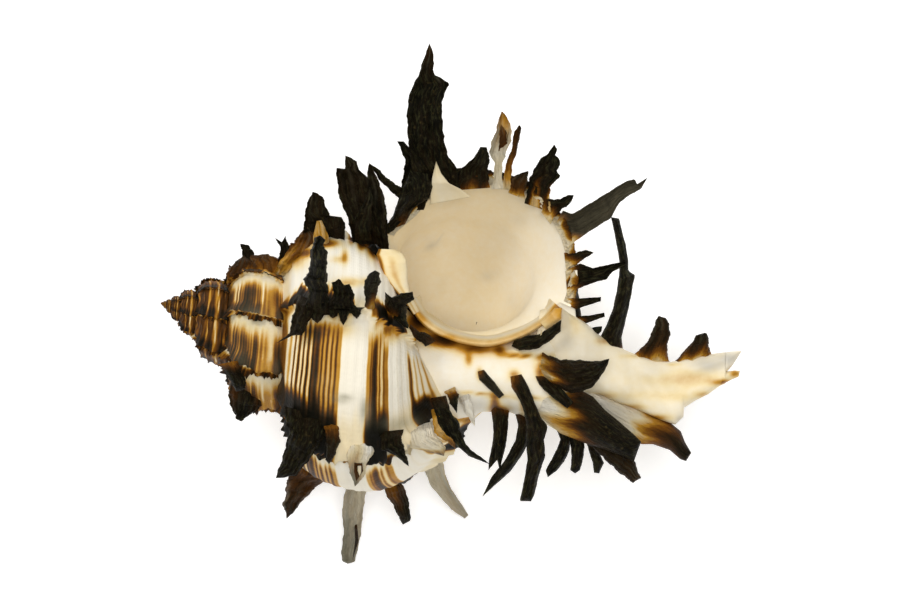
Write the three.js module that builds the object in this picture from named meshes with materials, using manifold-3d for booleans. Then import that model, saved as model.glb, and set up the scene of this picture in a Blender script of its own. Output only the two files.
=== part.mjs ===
// A murex shell: one grown piece, a right-handed coil with five spiny ridges to each turn.
// Millimetres, +Z up. The shell lies on the tips of its under-side spines, mouth up,
// with the apex towards -X and the end of the siphonal canal towards +X.
// Every place on it is given in the coil's own terms: how far along the axis from the apex,
// how far out from the axis, and at which turn, in degrees, where 0 is the lip.
import * as THREE from 'three';
import Module from 'manifold-3d';

const wasm = await Module();
wasm.setup();

// The coil: its axis, how fast it widens, and how high it lies over the surface.
const GROWTH_PER_TURN = 1.8;
const AXIS_TILT = 13;
const AXIS_HEIGHT = 31;
const APEX = new THREE.Vector3(-44.92, 1.26, AXIS_HEIGHT);
const TURNS = 4;
const RIDGES_PER_TURN = 5;
const RIDGE_STEP = 360 / RIDGES_PER_TURN;
const RIDGE_SWELL = 0.09;

// The tube's middle at the lip, and its outline there, as [along, out] from the apex.
const TUBE_MIDDLE = [46.8, 17.2];
const WHORL_OUTLINE = [
  [29.3, 12.3], [30.4, 17.6], [32.8, 23.0], [37.4, 27.0], [44.6, 28.7], [52.0, 27.8], [58.4, 23.6],
  [62.8, 17.2], [66.0, 11.1], [67.0, 5.5], [64.0, 0.8], [56.0, 0.8], [47.7, 0.8], [38.5, 1.5], [32.0, 6.2],
];
const BASE_DRAWN_IN = 0.1;

// The hollow: half sizes of its oval at the mouth and further in, and how deep it winds.
const MOUTH_HALF = [14.2, 12.9];
const INSIDE_HALF = [11.3, 10.1];
const MOUTH_FLARE = 26;
const HOLLOW_FROM = 12;
const HOLLOW_TO = -312;
const HOLLOW_SIDES = 16;
const HOLLOW_STEPS = 14;

const radians = THREE.MathUtils.degToRad;
const axisWay = new THREE.Vector3(Math.cos(radians(AXIS_TILT)), -Math.sin(radians(AXIS_TILT)), 0);
const lipWay = new THREE.Vector3(Math.sin(radians(AXIS_TILT)), Math.cos(radians(AXIS_TILT)), 0);
const mouthWay = new THREE.Vector3(0, 0, 1);

// Size of the coil at a turn, against its size at the lip.
function growth(turn) {
  return GROWTH_PER_TURN ** (turn / 360);
}

// A point from its place along the axis, sideways towards the lip and up towards the mouth's side.
function fromAxis(along, towardsLip, up) {
  return APEX.clone()
    .addScaledVector(axisWay, along)
    .addScaledVector(lipWay, towardsLip)
    .addScaledVector(mouthWay, up);
}

// A point from its place along the axis, out from it, and at a turn in degrees.
function fromCoil(along, out, turn) {
  return fromAxis(along, out * Math.cos(radians(turn)), out * Math.sin(radians(turn)));
}

// The way in which the coil grows at a turn.
function growthWay(turn) {
  return lipWay.clone().multiplyScalar(-Math.sin(radians(turn)))
    .addScaledVector(mouthWay, Math.cos(radians(turn)));
}

// Closed skin over rings of points that follow each other, with a fan over each end.
function skin(rings, firstMiddle, lastMiddle) {
  const sides = rings[0].length;
  const points = rings.flat().concat([firstMiddle, lastMiddle]);
  const faces = [];
  for (let ring = 0; ring < rings.length - 1; ring += 1) {
    for (let side = 0; side < sides; side += 1) {
      const a = ring * sides + side;
      const b = ring * sides + (side + 1) % sides;
      faces.push(a, b, a + sides, b, b + sides, a + sides);
    }
  }
  const last = (rings.length - 1) * sides;
  for (let side = 0; side < sides; side += 1) {
    const next = (side + 1) % sides;
    faces.push(points.length - 2, next, side);
    faces.push(points.length - 1, last + side, last + next);
  }
  return solid(new THREE.BufferGeometry().setFromPoints(points).setIndex(faces));
}

// A solid from a closed geometry, turned right side out if its faces point in.
function solid(geometry) {
  const vertProperties = new Float32Array(geometry.attributes.position.array);
  const triVerts = new Uint32Array(geometry.index.array);
  const corner = (i) => new THREE.Vector3().fromArray(vertProperties, 3 * triVerts[i]);
  let volume = 0;
  for (let i = 0; i < triVerts.length; i += 3) {
    volume += corner(i).dot(corner(i + 1).cross(corner(i + 2)));
  }
  if (volume < 0) {
    for (let i = 0; i < triVerts.length; i += 3) {
      [triVerts[i + 1], triVerts[i + 2]] = [triVerts[i + 2], triVerts[i + 1]];
    }
  }
  return new wasm.Manifold(new wasm.Mesh({ numProp: 3, vertProperties, triVerts }));
}

// How far the tube swells at a turn: 1 on a ridge, 0 between the ridges.
function ridgeAt(turn) {
  const away = Math.abs(turn - RIDGE_STEP * Math.round(turn / RIDGE_STEP));
  return Math.max(0, 1 - away / 12);
}

// The tube's outline at a turn, swollen outwards on a ridge. Its base is full at the lip alone.
function whorlRing(turn) {
  const size = growth(turn);
  const drawnIn = BASE_DRAWN_IN * THREE.MathUtils.clamp(-turn / 90, 0, 1);
  return WHORL_OUTLINE.map(([along, out]) => {
    const swell = 1 + RIDGE_SWELL * ridgeAt(turn) * Math.min(1, out / TUBE_MIDDLE[1]);
    const place = along - drawnIn * Math.max(0, along - TUBE_MIDDLE[0]);
    return fromCoil(size * place, size * out * swell, turn);
  });
}

// The turns at which the tube has a ring: each ridge, its two flanks and two between.
function ringTurns(from, to) {
  const offsets = [0, 8, 25, 47, 64];
  const turns = [];
  for (let ridge = Math.round(from / RIDGE_STEP); ridge * RIDGE_STEP <= to; ridge += 1) {
    for (const offset of offsets) {
      const turn = ridge * RIDGE_STEP + offset;
      if (turn >= from && turn <= to) {
        turns.push(turn);
      }
    }
  }
  return turns;
}

// The coiled tube, in stretches that don't meet themselves.
function whorls() {
  const stretch = 3 * RIDGE_STEP;
  const middle = (turn) => fromCoil(growth(turn) * TUBE_MIDDLE[0], growth(turn) * TUBE_MIDDLE[1], turn);
  let body = null;
  for (let to = 0; to > -360 * TURNS; to -= stretch) {
    const from = Math.max(to - stretch, -360 * TURNS);
    const part = skin(ringTurns(from, to).map(whorlRing), middle(from), middle(to));
    body = body ? body.add(part) : part;
  }
  return body;
}

// The first whorls: a small stepped cone that the coil grew from.
function apexTip() {
  const steps = [[0, 0], [0.2, 0.5], [1.1, 0.8], [1.3, 1.3], [2.6, 1.7], [2.9, 2.3], [4.6, 2.8], [6.5, 0]];
  const profile = steps.map(([along, out]) => new THREE.Vector2(out, along));
  const turned = new THREE.LatheGeometry(profile, 10);
  turned.rotateZ(radians(-90 - AXIS_TILT));
  turned.translate(APEX.x, APEX.y, APEX.z);
  return solid(welded(turned));
}

// A geometry with its like corners joined.
function welded(geometry) {
  const source = geometry.attributes.position;
  const keys = new Map();
  const points = [];
  const place = [];
  for (let i = 0; i < source.count; i += 1) {
    const point = new THREE.Vector3().fromBufferAttribute(source, i);
    const key = point.toArray().map((value) => Math.round(value * 1e4)).join(' ');
    if (!keys.has(key)) {
      keys.set(key, points.length);
      points.push(point);
    }
    place.push(keys.get(key));
  }
  const index = geometry.index ? Array.from(geometry.index.array) : place.map((_, i) => i);
  const faces = [];
  for (let i = 0; i < index.length; i += 3) {
    const [a, b, c] = [place[index[i]], place[index[i + 1]], place[index[i + 2]]];
    if (a !== b && b !== c && c !== a) {
      faces.push(a, b, c);
    }
  }
  return new THREE.BufferGeometry().setFromPoints(points).setIndex(faces);
}

// The hollow that the mouth opens into: an oval that winds back into the coil.
function hollow() {
  const rings = [];
  for (let step = 0; step <= HOLLOW_STEPS; step += 1) {
    const turn = THREE.MathUtils.lerp(HOLLOW_FROM, HOLLOW_TO, step / HOLLOW_STEPS);
    const size = growth(turn);
    const flare = THREE.MathUtils.clamp(1 + turn / MOUTH_FLARE, 0, 1) ** 2;
    const halfAlong = size * THREE.MathUtils.lerp(INSIDE_HALF[0], MOUTH_HALF[0], flare);
    const halfOut = size * THREE.MathUtils.lerp(INSIDE_HALF[1], MOUTH_HALF[1], flare);
    const ring = [];
    for (let side = 0; side < HOLLOW_SIDES; side += 1) {
      const round = (2 * Math.PI * side) / HOLLOW_SIDES;
      const along = size * TUBE_MIDDLE[0] + halfAlong * Math.cos(round);
      const out = size * TUBE_MIDDLE[1] + halfOut * Math.sin(round);
      ring.push(fromCoil(along, out, turn));
    }
    rings.push(ring);
  }
  const end = (turn) => fromCoil(growth(turn) * TUBE_MIDDLE[0], growth(turn) * TUBE_MIDDLE[1], turn);
  return skin(rings, end(HOLLOW_FROM), end(HOLLOW_TO));
}

// A spine or frond: a six-sided leaf on a bent line from its root to its tip.
// It is wide across its way and the growth way, and thin along the growth way. full and
// blunt are the shares of its width that are left at three quarters and at the tip.
function spine(root, tip, { wide, thick = wide * 0.5, bow = 0, full = 0.5, blunt = 0.12, face }) {
  const way = tip.clone().sub(root);
  const across = way.clone().cross(face).normalize();
  const upright = across.clone().cross(way).normalize();
  const knee = root.clone().lerp(tip, 0.5).addScaledVector(across, 2 * bow);
  const line = new THREE.QuadraticBezierCurve3(root, knee, tip);
  const stations = [[0, 1], [0.4, 0.4 + 0.85 * full], [0.74, full], [1, blunt]];
  const rings = stations.map(([share, size]) => {
    const middle = line.getPoint(share);
    const corners = [[0.5, 0], [0.28, 0.5], [-0.28, 0.5], [-0.5, 0], [-0.28, -0.5], [0.28, -0.5]];
    return corners.map(([x, y]) => middle.clone()
      .addScaledVector(across, x * wide * size)
      .addScaledVector(upright, y * thick * size));
  });
  return skin(rings, root, tip);
}

// Fronds of one ridge. at and to are [along, out, turn past the ridge] of the root and the tip.
function ridgeFronds(turn, fronds) {
  return fronds.map(({ at, to, ...shape }) => spine(
    fromCoil(at[0], at[1], turn + (at[2] ?? 0)),
    fromCoil(to[0], to[1], turn + (to[2] ?? 0)),
    { face: growthWay(turn), ...shape },
  ));
}

// The lip's own fronds, from the spire side round to the canal.
const LIP = [
  { at: [33.8, 24.6], to: [29.9, 32.5, 2], wide: 4.4, full: 0.6 },
  { at: [36.8, 25.6], to: [31.3, 48.3, 3], wide: 8.0, thick: 3.6, full: 0.56 },
  { at: [42.6, 27.8], to: [43.1, 34.6, -2], wide: 4.2, thick: 2.6 },
  { at: [46.3, 28.2], to: [44.8, 40.5, 2], wide: 3.2 },
  { at: [47.9, 28.4], to: [47.9, 39.0, -2], wide: 2.8 },
  { at: [51.8, 26.6], to: [53.8, 37.4, 2], wide: 4.4, thick: 2.8 },
  { at: [54.2, 25.8], to: [58.5, 30.1, -2], wide: 2.8 },
  { at: [56.6, 23.2], to: [69.0, 35.7, -3], wide: 4.0, thick: 2.6 },
  { at: [58.9, 20.6], to: [63.4, 22.5, 2], wide: 2.2 },
  { at: [59.8, 17.4], to: [68.5, 22.3, 4], wide: 3.4, thick: 2.2 },
  { at: [61.4, 13.4], to: [66.0, 15.7, 2], wide: 2.6 },
  { at: [63.6, 10.9], to: [67.0, 13.4, 2], wide: 1.8 },
  { at: [69.4, 7.6], to: [65.1, 28.6, -6], wide: 3.2, thick: 2.6, bow: 1.3, blunt: 0.4 },
  { at: [75.2, 7.2], to: [75.7, 15.4], wide: 5.6, thick: 2.2, full: 0.6 },
  { at: [81.0, 8.2], to: [82.9, 14.4], wide: 6.0, thick: 1.8, full: 0.6, blunt: 0.3 },
];

// The ridge one turn before the lip, whose dark leaves stand behind the spire side of the mouth.
const TOP_RIDGE = [
  { at: [25.2, 14.6], to: [22.8, 28.6, 2], wide: 5.4, thick: 3.4, full: 0.72, blunt: 0.2 },
  { at: [28.8, 14.6], to: [27.6, 28.4, -2], wide: 6.2, thick: 3.4, full: 0.78, blunt: 0.3 },
  { at: [30.6, 13.0], to: [31.4, 25.4], wide: 5.0, thick: 3.0, full: 0.7, blunt: 0.3 },
  { at: [21.5, 13.0], to: [19.2, 22.0], wide: 7.0, thick: 3.2, full: 0.7, blunt: 0.25 },
  { at: [16.8, 8.2], to: [15.6, 14.0], wide: 3.6, full: 0.8, blunt: 0.5 },
];

// The ridge that faces up beside the mouth.
const FRONT_RIDGE = [
  { at: [24.2, 16.6, -1], to: [22.4, 37.2, -6], wide: 4.0, thick: 3.4, full: 0.76, blunt: 0.4 },
  { at: [21.8, 14.0, 12], to: [19.1, 22.1, 23], wide: 3.2 },
  { at: [27.2, 16.8, 2], to: [27.2, 26.0, 3], wide: 6.4, thick: 4.0, full: 0.8, blunt: 0.5 },
  { at: [31.3, 16.6, -4], to: [31.9, 30.5, -5], wide: 4.0, thick: 3.2, full: 0.7, blunt: 0.3 },
  { at: [35.9, 13.6, -4], to: [36.4, 24.0, -4], wide: 4.8, thick: 3.0, blunt: 0.4 },
  { at: [38.2, 10.0, -4], to: [39.2, 15.6, -4], wide: 3.4 },
];

// The ridge between the front and the under side, with short leaves that point down the photo.
const LOW_RIDGE = [
  { at: [27.0, 16.6], to: [23.9, 27.4], wide: 7.6, thick: 4.4, full: 0.8, blunt: 0.55 },
  { at: [30.8, 18.0], to: [31.8, 22.6], wide: 2.6 },
  { at: [34.4, 18.4], to: [36.1, 25.2], wide: 5.2, thick: 3.4, full: 0.8, blunt: 0.5 },
  { at: [38.6, 15.6], to: [42.9, 21.0], wide: 4.6, thick: 3.4, full: 0.7, blunt: 0.3 },
  { at: [43.0, 11.6], to: [47.3, 17.0], wide: 4.6, thick: 2.8, blunt: 0.3 },
  { at: [43.4, 5.6], to: [55.0, 15.3], wide: 3.2, thick: 2.4 },
];

// The ridge under that one. Its two long pale spines reach the surface that the shell lies on.
const UNDER_RIDGE = [
  { at: [29.2, 19.6], to: [26.3, 35.2], wide: 7.6, thick: 4.0, full: 0.66, blunt: 0.3 },
  { at: [32.2, 21.0], to: [32.3, 27.5], wide: 3.0 },
  { at: [35.2, 21.6], to: [37.4, 46.6, 7], wide: 4.4, thick: 3.6, blunt: 0.6 },
  { at: [40.4, 19.6], to: [44.0, 31.3, 3], wide: 5.4, thick: 3.4, full: 0.66, blunt: 0.4 },
  { at: [45.4, 14.8, 2], to: [54.0, 39.0, 18.5], wide: 3.4, thick: 3.0, bow: 0.6, blunt: 0.6 },
];

// The ridge on the side away from the mouth. Three of its spines reach the surface too.
const BACK_RIDGE = [
  { at: [27.8, 17.6], to: [24.0, 29.0, 4], wide: 4.4 },
  { at: [32.0, 22.6], to: [28.0, 40.2, 18], wide: 5.0, thick: 4.0, blunt: 0.5 },
  { at: [36.8, 24.4], to: [37.0, 31.4, 2], wide: 3.6 },
  { at: [42.0, 24.6], to: [44.0, 37.9, 14], wide: 4.4, thick: 3.6, blunt: 0.6 },
  { at: [47.6, 22.4], to: [53.0, 31.0, 6], wide: 3.6 },
  { at: [53.6, 17.0], to: [62.0, 26.0, 4], wide: 3.2 },
  { at: [57.6, 10.6], to: [65.0, 18.0, 2], wide: 2.8 },
];

// Fronds of the spire's ridges, at the size that they would have at the lip.
const SPIRE_RIDGE = [
  { at: [33.0, 18.0], to: [28.5, 25.5], wide: 5.0 },
  { at: [39.0, 23.5], to: [34.5, 37.0], wide: 7.0 },
  { at: [46.5, 25.0], to: [46.0, 36.5], wide: 6.0 },
  { at: [54.0, 22.5], to: [57.5, 32.0], wide: 5.0 },
];

// Spines near the axis, on the foot of the shell: [along, towards the lip, up] of root and tip.
const FOOT_SPINES = [
  { at: [50.0, 1.2, 4.5], to: [54.9, -2.4, 10.5], wide: 2.6 },
  { at: [55.8, 2.4, 4.0], to: [61.9, -17.1, 5.0], wide: 3.0, thick: 2.6, bow: 0.9, blunt: 0.4 },
  { at: [59.0, 3.0, 4.0], to: [65.6, -1.8, 8.0], wide: 2.6 },
  { at: [54.6, -2.6, 0.0], to: [55.3, -13.5, 2.0], wide: 2.8, thick: 2.2 },
  { at: [58.4, -2.6, 1.0], to: [54.8, -17.8, -1.0], wide: 2.2, thick: 2.2, bow: -1.2, blunt: 0.4 },
  { at: [63.6, -2.6, 1.0], to: [63.7, -12.6, 1.0], wide: 2.0, thick: 2.0, blunt: 0.4 },
  { at: [66.0, -3.4, 1.0], to: [68.0, -11.2, 1.0], wide: 2.6, thick: 2.0, blunt: 0.4 },
  { at: [69.6, -4.8, 2.4], to: [71.4, -10.6, 1.4], wide: 2.4, thick: 2.0, blunt: 0.4 },
  { at: [58.4, 6.4, -1.0], to: [58.2, 7.4, 8.6], wide: 8.4, thick: 2.8, blunt: 0.7 },
];

// A body along the axis: sections of [along, towards the lip, up, half width, half height].
function lofted(sections, sides) {
  const rings = sections.map(([along, towardsLip, up, halfWide, halfHigh]) => {
    const ring = [];
    for (let side = 0; side < sides; side += 1) {
      const round = (2 * Math.PI * side) / sides;
      ring.push(fromAxis(along, towardsLip + halfWide * Math.cos(round), up + halfHigh * Math.sin(round)));
    }
    return ring;
  });
  const first = sections[0];
  const last = sections[sections.length - 1];
  return skin(rings, fromAxis(first[0], first[1], first[2]), fromAxis(last[0], last[1], last[2]));
}

// The pillar that the whorls turn about, and the siphonal canal that it runs out into.
const PILLAR = [
  [4.0, 0.0, 0.0, 0.9, 0.9], [18.0, -0.3, 0.0, 2.4, 2.8], [34.0, -1.0, 0.0, 4.6, 6.0], [44.0, -0.8, 0.0, 5.0, 6.8], [52.0, -0.4, 0.0, 4.9, 6.6],
  [58.0, 1.4, 0.0, 5.8, 6.0], [64.0, 3.6, 0.0, 6.2, 5.0], [69.0, 5.8, 0.0, 4.0, 4.0],
  [75.5, 5.6, 0.0, 3.6, 3.4], [82.4, 6.5, 0.0, 4.3, 2.8], [86.0, 9.2, 0.0, 3.0, 2.2],
  [89.2, 11.0, 0.0, 2.0, 1.5],
];

// The ends of earlier canals, left standing beside it like a fan.
const OLD_CANALS = [
  [[58.0, 1.6, 2.0, 3.2, 3.0], [63.0, 3.2, 8.0, 2.8, 2.6], [68.6, 4.8, 12.6, 2.2, 1.6]],
  [[61.0, 0.4, 1.0, 4.0, 3.4], [68.0, -3.4, 4.0, 3.4, 2.6], [73.0, -6.4, 5.6, 2.6, 2.0], [78.2, -9.8, 7.0, 1.6, 1.2]],
  [[62.0, 1.0, -1.0, 4.4, 3.4], [72.0, -0.4, -1.6, 3.0, 2.6], [79.0, -2.6, -2.4, 2.4, 1.8], [85.2, -5.0, -3.4, 1.6, 1.2]],
  [[60.0, 2.0, -2.0, 4.0, 3.4], [70.0, 3.0, -6.4, 2.8, 2.4], [80.0, 4.4, -11.4, 1.8, 1.4]],
];

// All of the shell's parts joined, with the hollow cut and the resting tips worn flat.
function shellSolid() {
  const parts = [apexTip(), lofted(PILLAR, 12)];
  for (const canal of OLD_CANALS) {
    parts.push(lofted(canal, 8));
  }
  const ridges = [LIP, BACK_RIDGE, UNDER_RIDGE, LOW_RIDGE, FRONT_RIDGE, TOP_RIDGE];
  ridges.forEach((fronds, ridge) => parts.push(...ridgeFronds(-RIDGE_STEP * ridge, fronds)));
  for (let ridge = ridges.length; ridge < 3 * RIDGES_PER_TURN; ridge += 1) {
    const turn = -RIDGE_STEP * ridge;
    const size = growth(turn);
    const sized = SPIRE_RIDGE.map(({ at, to, wide }) => ({
      at: at.map((value) => value * size),
      to: to.map((value) => value * size),
      wide: wide * size,
    }));
    parts.push(...ridgeFronds(turn, sized));
  }
  for (const { at, to, ...shape } of FOOT_SPINES) {
    parts.push(spine(fromAxis(...at), fromAxis(...to), { face: mouthWay, ...shape }));
  }
  let body = whorls();
  for (const part of parts) {
    body = body.add(part);
  }
  const below = new THREE.BoxGeometry(200, 200, 20);
  below.translate(0, 0, -10);
  return body.subtract(hollow()).subtract(solid(welded(below)));
}

const cut = shellSolid().getMesh();
const geometry = new THREE.BufferGeometry();
geometry.setAttribute('position', new THREE.BufferAttribute(cut.vertProperties, 3));
geometry.setIndex(new THREE.BufferAttribute(cut.triVerts, 1));
geometry.computeVertexNormals();

const nacre = new THREE.MeshStandardMaterial({ color: 0xebdfc8, roughness: 0.4, metalness: 0 });
const shell = new THREE.Mesh(geometry, nacre);
shell.name = 'shell';

const group = new THREE.Group();
group.add(shell);
export default group;
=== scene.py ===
import bpy
import numpy as np
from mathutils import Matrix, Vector


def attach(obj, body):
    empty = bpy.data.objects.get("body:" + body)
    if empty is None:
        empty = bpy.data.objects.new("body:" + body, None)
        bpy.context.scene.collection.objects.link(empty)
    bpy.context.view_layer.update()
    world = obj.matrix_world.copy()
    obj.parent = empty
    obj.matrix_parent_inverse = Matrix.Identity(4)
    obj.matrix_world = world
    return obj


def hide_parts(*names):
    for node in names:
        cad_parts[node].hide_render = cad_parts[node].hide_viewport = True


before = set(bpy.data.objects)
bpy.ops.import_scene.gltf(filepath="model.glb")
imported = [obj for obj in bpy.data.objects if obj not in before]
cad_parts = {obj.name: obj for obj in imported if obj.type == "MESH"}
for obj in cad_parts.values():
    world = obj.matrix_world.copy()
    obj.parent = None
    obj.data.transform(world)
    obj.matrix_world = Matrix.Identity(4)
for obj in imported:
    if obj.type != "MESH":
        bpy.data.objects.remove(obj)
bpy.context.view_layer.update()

# The stage: a plain pale floor, broad soft light from above, and a camera that looks straight down
# on the shell from far away, as the photograph does. Places on the shell are in millimetres in this
# file; the floor, the lights and the camera's clip are in metres.
MM = 0.001
AXIS_HEIGHT = 31.0
VIEW_CENTRE = (-0.26, 1.72)
FRAME_WIDTH = 138.6
CAMERA_LENS = 300.0
CAMERA_SENSOR = 36.0
CAMERA_REACH = FRAME_WIDTH * CAMERA_LENS / CAMERA_SENSOR
CAMERA_CLIP = (0.05, 20.0)
FLOOR_HALF = 3.0
FLOOR_COLOUR = (0.97, 0.97, 0.97, 1.0)
FLOOR_ROUGHNESS = 0.9
FLOOR_GLOW = 0.3
STUDIO_LIGHT = 0.33
WHITE = (1.0, 1.0, 1.0, 1.0)
SOFT_LIGHTS = (
    ("key", (-0.5, 0.6, 0.9), 0.35, 5.6),
    ("fill", (0.6, -0.4, 0.9), 0.8, 1.5),
    ("top", (0.02, 0.06, 1.7), 0.6, 13.6),
)
LIGHTS_AIM = (0.0, 0.0, 0.02)


def fill(node, **sockets):
    """Sets sockets of a node to values, or links them. A name has _ for a space; i0 is the first one."""
    for key, value in sockets.items():
        place = int(key[1:]) if key[0] == "i" and key[1:].isdigit() else key.replace("_", " ")
        if isinstance(value, bpy.types.NodeSocket):
            node.id_data.links.new(value, node.inputs[place])
        else:
            node.inputs[place].default_value = value
    return node


camera_data = bpy.data.cameras.new("camera")
camera_data.lens = CAMERA_LENS
camera_data.sensor_width = CAMERA_SENSOR
camera_data.clip_start, camera_data.clip_end = CAMERA_CLIP
camera = bpy.data.objects.new("camera", camera_data)
camera.location = (VIEW_CENTRE[0] * MM, VIEW_CENTRE[1] * MM, (AXIS_HEIGHT + CAMERA_REACH) * MM)
bpy.context.collection.objects.link(camera)
bpy.context.scene.camera = camera
bpy.context.scene.view_settings.view_transform = "Standard"

floor_mesh = bpy.data.meshes.new("floor")
floor_corners = [(x * FLOOR_HALF, y * FLOOR_HALF, 0) for x, y in ((-1, -1), (1, -1), (1, 1), (-1, 1))]
floor_mesh.from_pydata(floor_corners, [], [(0, 1, 2, 3)])
floor_material = bpy.data.materials.new("floor")
floor_material.use_nodes = True
fill(floor_material.node_tree.nodes["Principled BSDF"], Base_Color=FLOOR_COLOUR,
     Roughness=FLOOR_ROUGHNESS, Emission_Color=WHITE, Emission_Strength=FLOOR_GLOW)
floor_mesh.materials.append(floor_material)
floor = bpy.data.objects.new("floor", floor_mesh)
bpy.context.collection.objects.link(floor)

world = bpy.data.worlds.new("studio")
world.use_nodes = True
fill(world.node_tree.nodes["Background"], Color=WHITE, Strength=STUDIO_LIGHT)
bpy.context.scene.world = world

for name, place, size, power in SOFT_LIGHTS:
    light_data = bpy.data.lights.new(name, "AREA")
    light_data.size = size
    light_data.energy = power
    light = bpy.data.objects.new(name, light_data)
    light.location = place
    light.rotation_euler = (Vector(LIGHTS_AIM) - Vector(place)).to_track_quat("-Z", "Y").to_euler()
    bpy.context.collection.objects.link(light)


# The body whorl: the wall of the last turns, laid down ring by ring by the animal as its mouth moved
# round an axis and grew, and the glazed hollow that winds back inside it. Places on it are told as
# along the axis from the apex, out from the axis, and turn in degrees, where 0 is the lip.
GROWTH_PER_TURN = 1.8
AXIS_TILT = np.radians(13.0)
APEX = np.array((-44.92, 1.26, AXIS_HEIGHT))
AXIS_WAY = np.array((np.cos(AXIS_TILT), -np.sin(AXIS_TILT), 0.0))
LIP_WAY = np.array((np.sin(AXIS_TILT), np.cos(AXIS_TILT), 0.0))
MOUTH_WAY = np.array((0.0, 0.0, 1.0))
BODY_RIDGES = (0.0, -72.0, -144.0, -216.0, -288.0, -360.0, -425.0, -487.0, -546.0, -594.0, -640.0, -688.0)
SPIRE_RIDGE_STEP = 50.0
SPIRE_RIDGES = 24
TUBE_MIDDLE = (46.8, 17.2)
WHORL_OUTLINE = (
    (30.2, 12.3), (31.3, 17.6), (33.2, 23.0), (37.4, 27.0), (44.6, 28.7), (52.0, 27.8), (58.4, 23.6),
    (62.8, 17.2), (66.0, 11.1), (67.0, 5.5), (64.0, 0.8), (56.0, 0.8), (47.7, 0.8), (38.5, 1.5), (32.0, 6.2),
)
MOUTH_EDGE = (
    (31.9, 18.1), (33.0, 20.2), (34.6, 22.4), (35.6, 24.6), (37.0, 26.6), (38.8, 28.6), (41.2, 28.9),
    (43.8, 29.8), (48.6, 30.2), (52.3, 29.4), (56.4, 26.8), (59.4, 22.9), (61.3, 17.8), (61.4, 14.2),
    (59.9, 11.5), (57.0, 8.6), (52.4, 5.8), (48.0, 4.8), (44.0, 5.4), (40.3, 7.1), (37.4, 9.6), (35.7, 12.4),
    (33.2, 15.4),
)
BASE_DRAWN_IN = 0.1
INSIDE_HALF = (11.3, 10.1)
MOUTH_FLARE = 26.0
RIM_BLEND = 12.0
RIM_WALL = 0.6
RIDGE_HEIGHT = 2.4
RIDGE_FOOT = 16
RIDGE_BREAK = 2.4
RIB_PITCH = 1.12
THREAD_PITCH = 2.3
KNOB_PITCH = 4.1
KNOBS_A_TURN = 14
SCALLOP_PITCH, SCALLOP_FROM = 8.2, 37.0
RIDGE_TEAR = 4.5
LEAST_OUT = 0.4
SPIRE_FROM, SPIRE_WHOLLY = -400, -480
GLAZED_TURNS = ((-358, -352), (-303, -293))
SPOTS_REACH_DOWN = 8
WAVES = 7
BODY_FROM, HOLLOW_TO = -560.0, -330.0
BODY_COLS = 190
MOUTH_POINTS = 400

later_ridges = BODY_RIDGES[-1] - SPIRE_RIDGE_STEP * np.arange(1, SPIRE_RIDGES)
RIDGES = np.concatenate([BODY_RIDGES, later_ridges])[::-1]


def growth(turn):
    """Size of the coil at a turn against its size at the lip."""
    return GROWTH_PER_TURN ** (turn / 360.0)


def from_axis(along, towards_lip, up):
    """Points from their place along the axis, towards the lip and up."""
    along, towards_lip, up = np.broadcast_arrays(along, towards_lip, up)
    return APEX + along[..., None] * AXIS_WAY + towards_lip[..., None] * LIP_WAY + up[..., None] * MOUTH_WAY


def from_coil(along, out, turn):
    """Points from their place along the axis, out from it and at a turn in degrees."""
    return from_axis(along, out * np.cos(np.radians(turn)), out * np.sin(np.radians(turn)))


def through(knots, place, closed=False):
    """A smooth line (Catmull-Rom) through knots, at places from 0 to the count of its stretches."""
    knots = np.array(knots, dtype=float)
    if closed:
        ghost = np.vstack([knots[-1:], knots, knots[:2]])
        last = len(knots) - 1
    else:
        ghost = np.vstack([2 * knots[:1] - knots[1:2], knots, 2 * knots[-1:] - knots[-2:-1]])
        last = len(knots) - 2
    step = np.clip(np.floor(place).astype(int), 0, last)
    t = (place - step)[..., None]
    p0, p1, p2, p3 = (ghost[step + shift] for shift in range(4))
    return 0.5 * (2 * p1 + (p2 - p0) * t + (2 * p0 - 5 * p1 + 4 * p2 - p3) * t**2
                  + (3 * p1 - p0 - 3 * p2 + p3) * t**3)


def lengths_along(line):
    """The length of a line of points from its first point to each of them."""
    return np.concatenate([[0], np.cumsum(np.linalg.norm(np.diff(line, axis=0), axis=1))])


def closed_curve(points, count):
    """A smooth closed curve through points, at count even steps of its length."""
    path = through(points, np.linspace(0, len(points), 24 * len(points), endpoint=False), closed=True)
    ring = np.vstack([path, path[:1]])
    length = lengths_along(ring)
    even = np.linspace(0, length[-1], count, endpoint=False)
    return np.stack([np.interp(even, length, ring[:, axis]) for axis in (0, 1)], axis=1)


def smooth(low, high, value):
    """0 below low, 1 above high, and an eased step between them."""
    share = np.clip((value - low) / (high - low), 0, 1)
    return share * share * (3 - 2 * share)


def swell(width, middle, value):
    """A soft bump of height 1 round a middle: e to the minus square of the distance over the width."""
    return np.exp(-((value - middle) / width) ** 2)


def ripple(x, y, seed):
    """A smooth random wave over x and y, about -1 to 1: a sum of sines in seeded directions."""
    chance = np.random.default_rng(seed)
    total = np.zeros(np.broadcast(x, y).shape)
    for _ in range(WAVES):
        angle, phase = chance.uniform(0, 2 * np.pi, 2)
        pitch = chance.uniform(0.6, 1.7)
        total = total + np.sin(pitch * (x * np.cos(angle) + y * np.sin(angle)) + phase)
    return total / np.sqrt(WAVES)


def torn(place, seed):
    """A jagged line, 0 to 1, over a place in millimetres: pointed waves of three uneven pitches."""
    chance = np.random.default_rng(seed)
    total = 0.0
    for pitch, weight in ((2.4, 0.5), (1.1, 0.3), (0.47, 0.2)):
        pitch = pitch * chance.uniform(0.8, 1.25)
        total = total + weight * np.abs((place / pitch + chance.uniform()) % 1.0 * 2 - 1)
    return total


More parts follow.
